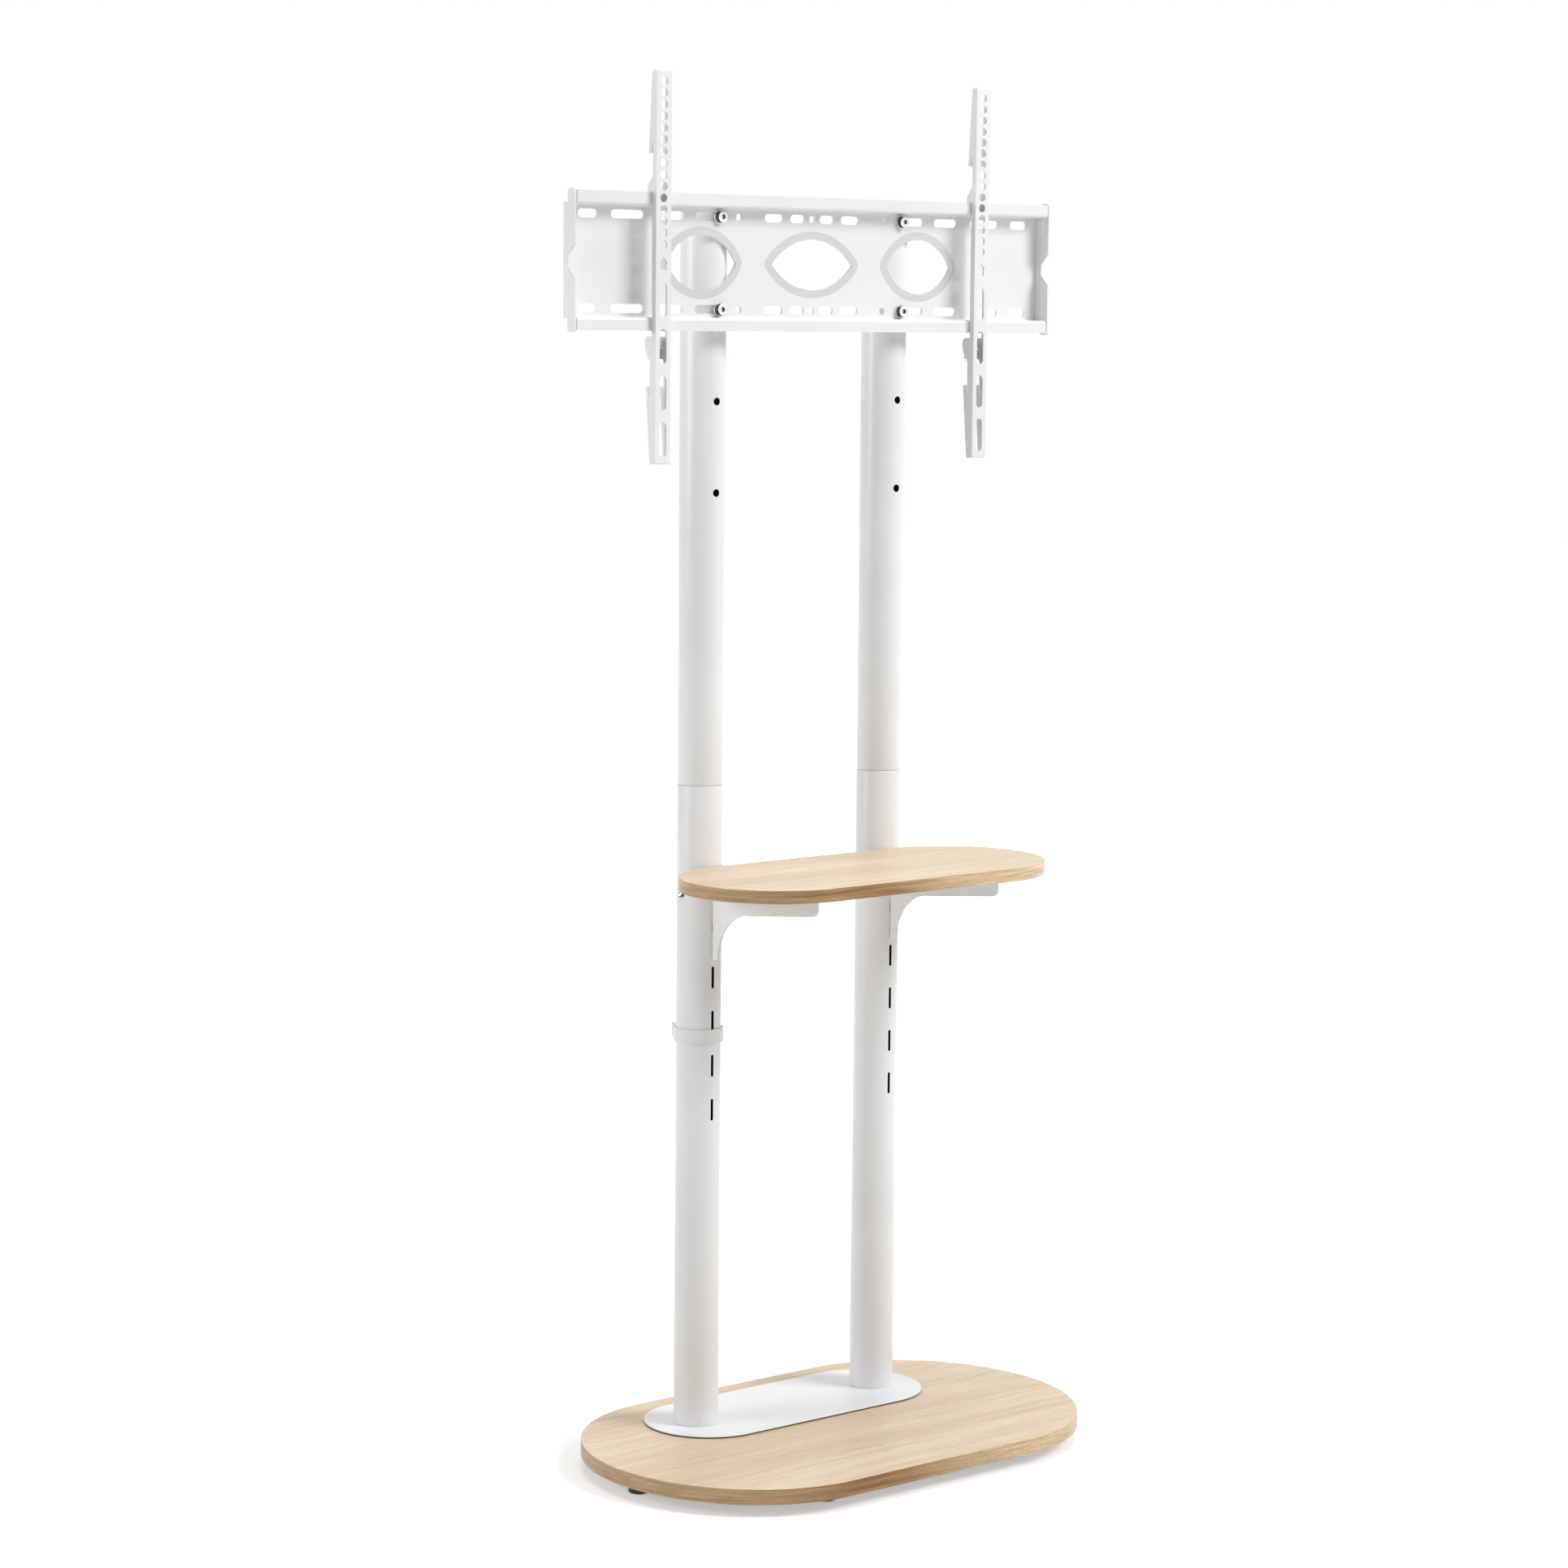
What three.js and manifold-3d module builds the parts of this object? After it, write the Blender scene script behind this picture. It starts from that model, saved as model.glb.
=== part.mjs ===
// A floor stand for a television, in millimetres, with +Z up and +X along its width.
// The television side faces -Y. The origin lies on the floor under the middle of the base.
// Two steel columns rise from a wooden base, and carry a slotted mount plate with two sliding
// television arms, a shelf that hooks into slots of the columns, and a cable clip.
import * as THREE from "three";
import { mergeVertices } from "three/addons/utils/BufferGeometryUtils.js";
import Module from "manifold-3d";

const wasm = await Module();
wasm.setup();

// Base board and the feet under it
const BASE_WIDTH = 614;
const BASE_DEPTH = 381;
const BASE_END_LENGTH = 174.5;
const BASE_THICKNESS = 18;
const BASE_EDGE_EASE = 0.8;
const FOOT_HEIGHT = 14;
const FOOT_PAD_RADIUS = 12;
const FOOT_PAD_HEIGHT = 8;
const FOOT_PAD_ROUNDING = 2;
const FOOT_NECK_RADIUS = 6;
const FOOT_STUD_RADIUS = 3;
const FOOT_STUD_REACH = 11;
const FOOT_TIP_INSET = 30;
const FOOT_SIDE_INSET = 45;
const INSERT_RADIUS = 5.5;
const INSERT_LENGTH = 12;
const INSERT_CLEARANCE = 0.2;
const INSERT_POCKET_SPARE = 2;

// Columns
const COLUMN_SPACING = 262;
const COLUMN_SETBACK = 86;
const TUBE_DIAMETER = 50.8;
const TUBE_WALL = 1.5;
const TUBE_END_EASE = 0.75;
const LOWER_TUBE_LENGTH = 729;
const SEAM_GAP = 0.25;
const BASE_PLATE_WIDTH = 372;
const BASE_PLATE_DEPTH = 147;
const BASE_PLATE_THICKNESS = 3;
const BASE_PLATE_EDGE_EASE = 0.6;
const SLEEVE_LENGTH = 120;
const SLEEVE_WALL = 2;
const INNER_CLEARANCE = 0.2;
const CAP_FLANGE_HEIGHT = 3;
const CAP_SPIGOT_LENGTH = 5;
const CAP_CROWN = 1.2;
const FOOT_PLUG_HEIGHT = 22;
const BASE_BOLT_RADIUS = 5;
const BASE_BOLT_HEAD_RADIUS = 8.5;
const BASE_BOLT_HEAD_HEIGHT = 6;
const BASE_BOLT_THREAD_DEPTH = 16;
const BASE_WASHER_RADIUS = 12;
const BASE_WASHER_THICKNESS = 1.5;
const BASE_BOLT_CLEARANCE = 0.2;
const COUNTERBORE_CLEARANCE = 1;

// Row of narrow slots for the shelf, in the front of each lower tube
const SHELF_SLOT_HEIGHT = 25;
const SHELF_SLOT_WIDTH = 3.5;
const SHELF_SLOT_PITCH = 50;
const SHELF_SLOT_COUNT = 6;
const LOWEST_SLOT_LEVEL = 399;

// Tapped holes for the mount, in the front of each upper tube
const MOUNT_LEVEL = 1338;
const MOUNT_HOLE_PITCH = 100;
const MOUNT_HOLE_COUNT = 4;
const MOUNT_BOLT_RADIUS = 4;
const MOUNT_HOLE_CLEARANCE = 0.3;
const THREAD_CLEARANCE = 0.3;
const THREAD_STRIP_WIDTH = 16;
const THREAD_STRIP_THICKNESS = 6;
const THREAD_STRIP_OVERRUN = 6;

// Mount plate: a bent channel, open to the front, with lips turned out above and below
const PLATE_LENGTH = 683;
const PLATE_ROW_INSET = 11;
const PLATE_LIP_HEIGHT = 12.5;
const PLATE_DEPTH = 22.5;
const PLATE_STEEL = 2;
const PLATE_BEND_RADIUS = 2.5;
const PLATE_TO_TUBE_GAP = 0.3;
const LIP_END_RELIEF = 1.5;
const EAR_DEPTH = 12.5;
const EAR_OVERREACH = 2;
const EAR_CORNER_RADIUS = 4;
const END_NOTCH_MOUTH = 35;
const END_NOTCH_FLOOR = 12;
const END_NOTCH_DEPTH = 11.5;
const WEB_SLOT_HEIGHT = 9.5;
const SMALL_HOLE_DIAMETER = 8;
const SMALL_HOLE_OFFSET = 104;
const WEB_SLOTS = {
  inner: { offset: 21, length: 20.5 },
  middle: { offset: 54.5, length: 26 },
  bolt: { offset: 145.5, length: 38 },
  outer: { offset: 197.5, length: 35 },
  far: { offset: 257, length: 44 },
  last: { offset: 310, length: 25.5 },
};
const EYES = {
  centre: { offset: 0, halfWidth: 58.5, halfHeight: 28 },
  side: { offset: 156.5, halfWidth: 48, halfHeight: 30.5 },
};
const EYE_RIM_WIDTH = 9;
const EYE_RIM_HEIGHT = 1.4;
const EYE_RIM_BEVEL = 1.2;
const MOUNT_BOLT_REACH = 16;
const MOUNT_BOLT_HEAD_RADIUS = 6.5;
const MOUNT_BOLT_HEAD_HEIGHT = 5;
const MOUNT_BOLT_SOCKET = 5;
const MOUNT_BOLT_SOCKET_DEPTH = 2.6;
const MOUNT_WASHER_RADIUS = 7.8;
const MOUNT_WASHER_THICKNESS = 1.6;
const HEAD_EASE = 1;

// Television arms: channels that hook over the lips of the mount plate
const ARM_OFFSET = 229;
const ARM_TOP_LEVEL = 1540;
const ARM_BOTTOM_LEVEL = 1122;
const ARM_WIDTH = 20.6;
const ARM_STEEL = 2;
const ARM_BEND_RADIUS = 3;
const ARM_STANDOFF = 7.3;
const ARM_UPPER_HALF = { endDepth: 8, hornDepth: 13.5, hornInset: 87.5, neckDepth: 6.5 };
const ARM_LOWER_HALF = { endDepth: 10, hornDepth: 17, hornInset: 83, neckDepth: 10 };
const ARM_HORN_SLIT_DEPTH = 10;
const ARM_HORN_SLIT_WIDTH = 1.6;
const ARM_HORN_ROUNDING = 1;
const ARM_END_ROUNDING = 3;
const ARM_HOOK_DEPTH = 15;
const ARM_HOOK_RISE = 17;
const ARM_HOOK_SHOULDER = 7;
const ARM_HOOK_FINGER = 8;
const ARM_FIT = 0.3;
const ARM_LOBE_DEPTH = 19;
const ARM_LOBE_TOP_DROP = 6;
const ARM_LOBE_HEIGHT = 27;
const ARM_LOBE_ROUNDING = 6;
const ARM_HOLE_DIAMETER = 9.4;
const ARM_HOLE_PITCH = 12.32;
const ARM_HOLE_COUNT = 15;
const ARM_FIRST_HOLE_INSET = 11.3;
const ARM_SLOT_LENGTH = 37;
const ARM_SLOT_PITCH = 49.6;
const ARM_SLOT_COUNT = 4;
const ARM_LAST_SLOT_INSET = 26.4;
const LOCK_TAB_STEEL = 2;
const LOCK_TAB_LEG = 12;
const LOCK_TAB_DEPTH = 12.5;
const LOCK_TAB_DROP = 18;
const LOCK_SCREW_RADIUS = 2.7;
const LOCK_SCREW_SETBACK = 14.2;
const LOCK_SCREW_TOP_DROP = 7.5;
const LOCK_SCREW_LENGTH = 34;
const LOCK_SCREW_HEAD_RADIUS = 4.5;
const LOCK_SCREW_HEAD_HEIGHT = 5;
const LOCK_SCREW_SOCKET = 4;
const LOCK_SCREW_CLEARANCE = 0.25;

// Shelf
const SHELF_WIDTH = 470;
const SHELF_DEPTH = 208;
const SHELF_THICKNESS = 15;
const SHELF_EDGE_EASE = 0.8;
const SHELF_OVER_SLOT = 10.5;
const SHELF_BACK_GAP = 2;
const BRACKET_STEEL = 3;
const BRACKET_REACH = 181;
const BRACKET_END_HEIGHT = 20;
const BRACKET_END_ROUNDING = 8;
const BRACKET_HEIGHT = 90;
const BRACKET_TIP_WIDTH = 9;
const BRACKET_THROAT_REACH = 66.5;
const BRACKET_THROAT_DROP = 33.5;
const BRACKET_FLANGE_WIDTH = 22;
const BRACKET_FLANGE_START = 10;
const BRACKET_FIT = 0.3;
const HOOK_NECK_HEIGHT = 12.5;
const HOOK_DROP = 9;
const HOOK_THICKNESS = 6;
const TONGUE_REACH = 6;
const SHELF_SCREW_RADIUS = 2;
const SHELF_SCREW_LENGTH = 13;
const SHELF_SCREW_HEAD_RADIUS = 4;
const SHELF_SCREW_HEAD_HEIGHT = 2.2;
const SHELF_SCREW_CLEARANCE = 0.2;
const SHELF_SCREW_REACHES = [45, 145];
const SIDE_SCREW_RADIUS = 2.5;
const SIDE_SCREW_HEAD_RADIUS = 5;
const SIDE_SCREW_HEAD_HEIGHT = 2.8;
const SIDE_SCREW_SOCKET = 3;
const SIDE_SCREW_SOCKET_DEPTH = 1.6;
const SIDE_SCREW_FIT = 0.3;
const SIDE_SCREW_SPOT_FACE = 0.2;

// Cable clip
const CLIP_LEVEL = 482.5;
const CLIP_HEIGHT = 15.5;
const CLIP_WALL = 2.6;
const CLIP_FIT = 0.3;
const CLIP_GAP = 9;
const CLIP_LOOP_RADIUS = 9;
const CLIP_LOOP_MOUTH = 7;

// Finishes
const WHITE_STEEL = { color: 0xf2f2f1, roughness: 0.45, metalness: 0 };
const OAK_FOIL = { color: 0xe6cfab, roughness: 0.5, metalness: 0 };
const ZINC = { color: 0xc4c6c8, roughness: 0.32, metalness: 1 };
const DARK_STEEL = { color: 0x3c3c3d, roughness: 0.5, metalness: 0.8 };
const BLACK_STEEL = { color: 0x3a3937, roughness: 0.6, metalness: 0.3 };
const WHITE_PLASTIC = { color: 0xeeeeec, roughness: 0.4, metalness: 0 };

// Numbers of steps round curves, and small working values
const TUBE_STEPS = 32;
const HIDDEN_STEPS = 20;
const SCREW_STEPS = 10;
const FOOT_STEPS = 12;
const BOARD_CURVE_STEPS = 12;
const SLOT_CURVE_STEPS = 2;
const HOLE_CURVE_STEPS = 5;
const ARM_HOLE_STEPS = 4;
const BEND_STEPS = 2;
const ARC_STEPS = 6;
const HEXAGON_SIDES = 6;
const CUT_OVERRUN = 1;
const WELD_DISTANCE = 1e-4;
const SIDES = { left: -1, right: 1 };

// Levels and places worked out from the sizes
const BASE_TOP = FOOT_HEIGHT + BASE_THICKNESS;
const BASE_PLATE_TOP = BASE_TOP + BASE_PLATE_THICKNESS;
const SEAM_LEVEL = BASE_PLATE_TOP + LOWER_TUBE_LENGTH;
const UPPER_TUBE_BOTTOM = SEAM_LEVEL + SEAM_GAP;
const MOUNT_BOLT_DROP = MOUNT_HOLE_PITCH / 2;
const PLATE_FLANGE_HEIGHT = MOUNT_HOLE_PITCH + 2 * PLATE_ROW_INSET;
const PLATE_HEIGHT = PLATE_FLANGE_HEIGHT + 2 * PLATE_LIP_HEIGHT;
const THREAD_STRIP_TOP = MOUNT_LEVEL + MOUNT_BOLT_DROP + THREAD_STRIP_OVERRUN;
const COLUMN_TOP = THREAD_STRIP_TOP + CAP_SPIGOT_LENGTH + INNER_CLEARANCE;
const UPPER_TUBE_LENGTH = COLUMN_TOP - UPPER_TUBE_BOTTOM;
const TUBE_RADIUS = TUBE_DIAMETER / 2;
const TUBE_INNER_RADIUS = TUBE_RADIUS - TUBE_WALL;
const PLATE_BACK = COLUMN_SETBACK - TUBE_RADIUS - PLATE_TO_TUBE_GAP;
const ARM_FRONT = PLATE_BACK - PLATE_DEPTH - ARM_STANDOFF;
const TOP_SLOT_LEVEL = LOWEST_SLOT_LEVEL + (SHELF_SLOT_COUNT - 1) * SHELF_SLOT_PITCH;
const SLOT_END_RADIUS = SHELF_SLOT_WIDTH / 2;
const HOOK_SEAT = SLOT_END_RADIUS - Math.sqrt(SLOT_END_RADIUS ** 2 - (BRACKET_STEEL / 2) ** 2);
const HOOK_DROP_IN_SLOT = SHELF_SLOT_HEIGHT / 2 - HOOK_SEAT - BRACKET_FIT;
const TOP_HOOK_LEVEL = TOP_SLOT_LEVEL - HOOK_DROP_IN_SLOT;
const SIDE_SCREW_LEVEL = TOP_HOOK_LEVEL + HOOK_NECK_HEIGHT / 2;
const SHELF_BOTTOM = TOP_SLOT_LEVEL + SHELF_OVER_SLOT;
const SHELF_CENTRE = COLUMN_SETBACK - TUBE_RADIUS - SHELF_BACK_GAP - SHELF_DEPTH / 2;

// The axis order that lays a profile drawn in the YZ plane so that it is extruded along +X.
const YZ_TO_X = new THREE.Matrix4().makeBasis(
  new THREE.Vector3(0, 1, 0),
  new THREE.Vector3(0, 0, 1),
  new THREE.Vector3(1, 0, 0),
);

// A closed geometry as a solid that can be cut and joined.
function solid(geometry) {
  const bare = geometry.clone();
  bare.deleteAttribute("normal");
  bare.deleteAttribute("uv");
  const merged = mergeVertices(bare, WELD_DISTANCE);
  return new wasm.Manifold(
    new wasm.Mesh({
      numProp: 3,
      vertProperties: merged.attributes.position.array,
      triVerts: new Uint32Array(merged.index.array),
    }),
  );
}

// A solid as a geometry with flat shaded faces.
function geometryOf(shape) {
  const { vertProperties, triVerts } = shape.getMesh();
  const geometry = new THREE.BufferGeometry();
  geometry.setAttribute("position", new THREE.BufferAttribute(vertProperties, 3));
  geometry.setIndex(new THREE.BufferAttribute(triVerts, 1));
  const flat = geometry.toNonIndexed();
  flat.computeVertexNormals();
  return flat;
}

// The first geometry with the others taken out of it.
function cut(geometry, tools) {
  return geometryOf(tools.reduce((rest, tool) => rest.subtract(solid(tool)), solid(geometry)));
}

// Several touching or overlapping geometries made one.
function join(geometries) {
  return geometryOf(geometries.map(solid).reduce((whole, piece) => whole.add(piece)));
}

// What two geometries have in common.
function common(first, second) {
  return geometryOf(solid(first).intersect(solid(second)));
}

// A mesh of one sub-part, with its own material.
function part(name, geometry, finish, place = [0, 0, 0]) {
  const mesh = new THREE.Mesh(geometry, new THREE.MeshStandardMaterial(finish));
  mesh.name = name;
  mesh.position.set(...place);
  return mesh;
}

// A shape raised along +Z from 0, with its outline kept and its edges eased.
function slab(shape, height, curveSteps, ease = 0) {
  return new THREE.ExtrudeGeometry(shape, {
    depth: height - 2 * ease,
    curveSegments: curveSteps,
    bevelEnabled: ease > 0,
    bevelThickness: ease,
    bevelSize: ease,
    bevelOffset: -ease,
    bevelSegments: 1,
  }).translate(0, 0, ease);
}

// A shape drawn in X and Z, extruded towards -Y from y.
function frontwards(shape, depth, y, curveSteps, ease = 0) {
  return slab(shape, depth, curveSteps, ease).rotateX(Math.PI / 2).translate(0, y, 0);
}

// A shape drawn in Y and Z, extruded along +X and centred on x.
function crosswise(shape, width, x, curveSteps) {
  return slab(shape, width, curveSteps)
    .applyMatrix4(YZ_TO_X)
    .translate(x - width / 2, 0, 0);
}

// A revolved profile of radius and height pairs, standing on +Z.
function turned(profile, steps) {
  const points = profile.map(([radius, height]) => new THREE.Vector2(radius, height));
  return new THREE.LatheGeometry(points, steps).rotateX(Math.PI / 2);
}

// A round bar along +Z between two levels.
function bar(radius, bottom, top, steps = SCREW_STEPS) {
  return turned([[0, bottom], [radius, bottom], [radius, top], [0, top]], steps);
}

// A ring along +Z with eased outer ends.
function ring(outer, inner, bottom, top, steps, ease = 0) {
  const profile = [[inner, bottom], [outer - ease, bottom]];
  if (ease > 0) profile.push([outer, bottom + ease], [outer, top - ease]);
  profile.push([outer - ease, top], [inner, top], [inner, bottom]);
  return turned(profile, steps);
}

// A hexagonal socket cutter, with its mouth at the level z and its floor below or above it.
function socket(acrossFlats, z, depth) {
  const radius = acrossFlats / Math.sqrt(3);
  const bottom = Math.min(z, z + depth) - (depth > 0 ? CUT_OVERRUN : 0);
  const top = Math.max(z, z + depth) + (depth < 0 ? CUT_OVERRUN : 0);
  return bar(radius, bottom, top, HEXAGON_SIDES);
}

// An outline with straight long sides and half-elliptical ends.
function ovalOutline(width, depth, endLength) {
  const straight = width / 2 - endLength;
  const shape = new THREE.Shape();
  shape.moveTo(-straight, -depth / 2);
  shape.lineTo(straight, -depth / 2);
  shape.absellipse(straight, 0, endLength, depth / 2, -Math.PI / 2, Math.PI / 2, false);
  shape.lineTo(-straight, depth / 2);
  shape.absellipse(-straight, 0, endLength, depth / 2, Math.PI / 2, (3 * Math.PI) / 2, false);
  return shape;
}

// A slot with round ends, centred on a point; the longer side gives its direction.
function slotOutline(x, y, width, height) {
  const radius = Math.min(width, height) / 2;
  const alongX = Math.max(width / 2 - radius, 0);
  const alongY = Math.max(height / 2 - radius, 0);
  const turn = alongY > 0 ? Math.PI / 2 : 0;
  const shape = new THREE.Shape();
  shape.absarc(x + alongX, y + alongY, radius, turn - Math.PI / 2, turn + Math.PI / 2, false);
  shape.absarc(x - alongX, y - alongY, radius, turn + Math.PI / 2, turn + (3 * Math.PI) / 2, false);
  return shape;
}

// A round outline.
function discOutline(x, y, radius) {
  const shape = new THREE.Shape();
  shape.absarc(x, y, radius, 0, 2 * Math.PI, false);
  return shape;
}

// A pointed oval: two arcs that meet in a tip at each end.
function eyeOutline(x, halfWidth, halfHeight) {
  const radius = (halfWidth ** 2 + halfHeight ** 2) / (2 * halfHeight);
  const sink = radius - halfHeight;
  const sweep = Math.asin(halfWidth / radius);
  const shape = new THREE.Shape();
  shape.absarc(x, sink, radius, -Math.PI / 2 - sweep, -Math.PI / 2 + sweep, false);
  shape.absarc(x, -sink, radius, Math.PI / 2 - sweep, Math.PI / 2 + sweep, false);
  return shape;
}

// The outline of a bent sheet: a centre line with its bends rounded, thickened to both sides.
function bentSheet(corners, thickness, bendRadius) {
  const line = [];
  corners.forEach(([x, y], i) => {
    const corner = new THREE.Vector2(x, y);
    if (i === 0 || i === corners.length - 1) {
      line.push(corner);
      return;
    }
    const back = new THREE.Vector2(...corners[i - 1]).sub(corner).normalize();
    const ahead = new THREE.Vector2(...corners[i + 1]).sub(corner).normalize();
    const half = Math.acos(THREE.MathUtils.clamp(back.dot(ahead), -1, 1)) / 2;
    const bisector = back.clone().add(ahead).normalize();
    const centre = corner.clone().addScaledVector(bisector, bendRadius / Math.sin(half));
    const start = corner.clone().addScaledVector(back, bendRadius / Math.tan(half)).sub(centre);
    const end = corner.clone().addScaledVector(ahead, bendRadius / Math.tan(half)).sub(centre);
    const turn = Math.atan2(start.cross(end), start.dot(end));
    for (let step = 0; step <= BEND_STEPS; step++)
      line.push(
        start.clone().rotateAround(new THREE.Vector2(), (turn * step) / BEND_STEPS).add(centre),
      );
  });
  const sides = [1, -1].map((side) =>
    line.map((point, i) => {
      const before = line[Math.max(i - 1, 0)];
      const after = line[Math.min(i + 1, line.length - 1)];
      const into = point.clone().sub(before).normalize();
      const out = after.clone().sub(point).normalize();
      const along = into.add(out).normalize();
      const normal = new THREE.Vector2(-along.y, along.x);
      const stretch = i > 0 && i < line.length - 1 ? out.dot(along) : 1;
      return point.clone().addScaledVector(normal, (side * thickness) / 2 / stretch);
    }),
  );
  return new THREE.Shape([...sides[0], ...sides[1].reverse()]);
}

// A polygon whose listed corners, given as x, y and radius, are rounded.
function roundedPolygon(corners) {
  const path = new THREE.Shape();
  corners.forEach(([x, y, radius = 0], i) => {
    const corner = new THREE.Vector2(x, y);
    const before = corners[(i + corners.length - 1) % corners.length];
    const after = corners[(i + 1) % corners.length];
    const back = new THREE.Vector2(before[0], before[1]).sub(corner).setLength(radius).add(corner);
    const ahead = new THREE.Vector2(after[0], after[1]).sub(corner).setLength(radius).add(corner);
    if (i === 0) path.moveTo(back.x, back.y);
    else path.lineTo(back.x, back.y);
    if (radius > 0) path.quadraticCurveTo(corner.x, corner.y, ahead.x, ahead.y);
  });
  path.closePath();
  return path;
}

// Where the feet stand: one near each rounded end, four near the long sides.
function footPlaces() {
  const tip = BASE_WIDTH / 2 - FOOT_TIP_INSET;
  const along = BASE_WIDTH / 2 - BASE_END_LENGTH;
  const across = BASE_DEPTH / 2 - FOOT_SIDE_INSET;
  return {
    left_end: [-tip, 0],
    right_end: [tip, 0],
    front_left: [-along, -across],
    front_right: [along, -across],
    back_left: [-along, across],
    back_right: [along, across],
  };
}

// Base board: an eased oval with pockets for the foot inserts and stepped holes for the bolts.
function baseBoard() {
  const outline = ovalOutline(BASE_WIDTH, BASE_DEPTH, BASE_END_LENGTH);
  const board = slab(outline, BASE_THICKNESS, BOARD_CURVE_STEPS, BASE_EDGE_EASE);
  const pocketRadius = INSERT_RADIUS + INSERT_CLEARANCE;
  const pockets = Object.values(footPlaces()).map(([x, y]) =>
    bar(pocketRadius, -CUT_OVERRUN, INSERT_LENGTH + INSERT_POCKET_SPARE).translate(x, y, 0),
  );
  const holes = Object.values(SIDES).flatMap((side) =>
    [
      bar(BASE_BOLT_RADIUS + BASE_BOLT_CLEARANCE, 0, BASE_THICKNESS + CUT_OVERRUN),
      bar(BASE_WASHER_RADIUS + COUNTERBORE_CLEARANCE, -CUT_OVERRUN, baseBoltSeat()),
    ].map((hole) => hole.translate((side * COLUMN_SPACING) / 2, COLUMN_SETBACK, 0)),
  );
  return cut(board, [...pockets, ...holes]);
}

// Height of the counterbore's floor above the board's underside.
function baseBoltSeat() {
  return BASE_BOLT_HEAD_HEIGHT + BASE_WASHER_THICKNESS + COUNTERBORE_CLEARANCE;
}

// Levelling foot: a rounded pad, a neck that stops against the board, and a stud.
function levellingFoot() {
  const profile = [
    [0, 0],
    [FOOT_PAD_RADIUS - FOOT_PAD_ROUNDING, 0],
    [FOOT_PAD_RADIUS, FOOT_PAD_ROUNDING],
    [FOOT_PAD_RADIUS, FOOT_PAD_HEIGHT - FOOT_PAD_ROUNDING],
    [FOOT_PAD_RADIUS - FOOT_PAD_ROUNDING, FOOT_PAD_HEIGHT],
    [FOOT_NECK_RADIUS, FOOT_PAD_HEIGHT],
    [FOOT_NECK_RADIUS, FOOT_HEIGHT],
    [FOOT_STUD_RADIUS, FOOT_HEIGHT],
    [FOOT_STUD_RADIUS, FOOT_HEIGHT + FOOT_STUD_REACH],
    [0, FOOT_HEIGHT + FOOT_STUD_REACH],
  ];
  return turned(profile, FOOT_STEPS);
}

// Oval plate under both columns, with a hole for each base bolt.
function basePlate() {
  const outline = ovalOutline(BASE_PLATE_WIDTH, BASE_PLATE_DEPTH, BASE_PLATE_DEPTH / 2);
  const plate = slab(outline, BASE_PLATE_THICKNESS, BOARD_CURVE_STEPS, BASE_PLATE_EDGE_EASE);
  const radius = BASE_BOLT_RADIUS + BASE_BOLT_CLEARANCE;
  const holes = Object.values(SIDES).map((side) =>
    bar(radius, -CUT_OVERRUN, BASE_PLATE_THICKNESS + CUT_OVERRUN).translate(
      (side * COLUMN_SPACING) / 2,
      0,
      0,
    ),
  );
  return cut(plate, holes);
}

// Lower tube, with the row of shelf slots in front and a hole for the side screw.
function lowerTube(side) {
  const tube = ring(TUBE_RADIUS, TUBE_INNER_RADIUS, 0, LOWER_TUBE_LENGTH, TUBE_STEPS, TUBE_END_EASE);
  const slots = slotLevels().map((level) =>
    frontwards(
      slotOutline(0, level - BASE_PLATE_TOP, SHELF_SLOT_WIDTH, SHELF_SLOT_HEIGHT),
      TUBE_RADIUS,
      -TUBE_RADIUS / 2,
      SLOT_CURVE_STEPS,
    ),
  );
  const hole = bar(SIDE_SCREW_RADIUS + SIDE_SCREW_FIT, 0, TUBE_RADIUS + CUT_OVERRUN)
    .rotateY((side * Math.PI) / 2)
    .translate(0, 0, SIDE_SCREW_LEVEL - BASE_PLATE_TOP);
  return cut(tube, [...slots, hole]);
}

// Centres of the shelf slots, from the lowest up.
function slotLevels() {
  return Array.from(
    { length: SHELF_SLOT_COUNT },
    (_, i) => LOWEST_SLOT_LEVEL + i * SHELF_SLOT_PITCH,
  );
}

// Centres of the mount holes, from the highest down.
function mountHoleLevels() {
  const highest = MOUNT_LEVEL + MOUNT_BOLT_DROP;
  return Array.from({ length: MOUNT_HOLE_COUNT }, (_, i) => highest - i * MOUNT_HOLE_PITCH);
}

// Round cutters for the mount bolts, through the front wall of a column.
function mountHoleCutters(radius, bottom) {
  return mountHoleLevels().map((level) =>
    frontwards(
      discOutline(0, level - bottom, radius),
      TUBE_RADIUS,
      -TUBE_RADIUS / 2,
      HOLE_CURVE_STEPS,
    ),
  );
}

// Upper tube, with the mount holes in front.
function upperTube() {
  const tube = ring(TUBE_RADIUS, TUBE_INNER_RADIUS, 0, UPPER_TUBE_LENGTH, TUBE_STEPS, TUBE_END_EASE);
  return cut(tube, mountHoleCutters(MOUNT_BOLT_RADIUS + MOUNT_HOLE_CLEARANCE, UPPER_TUBE_BOTTOM));
}

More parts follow.
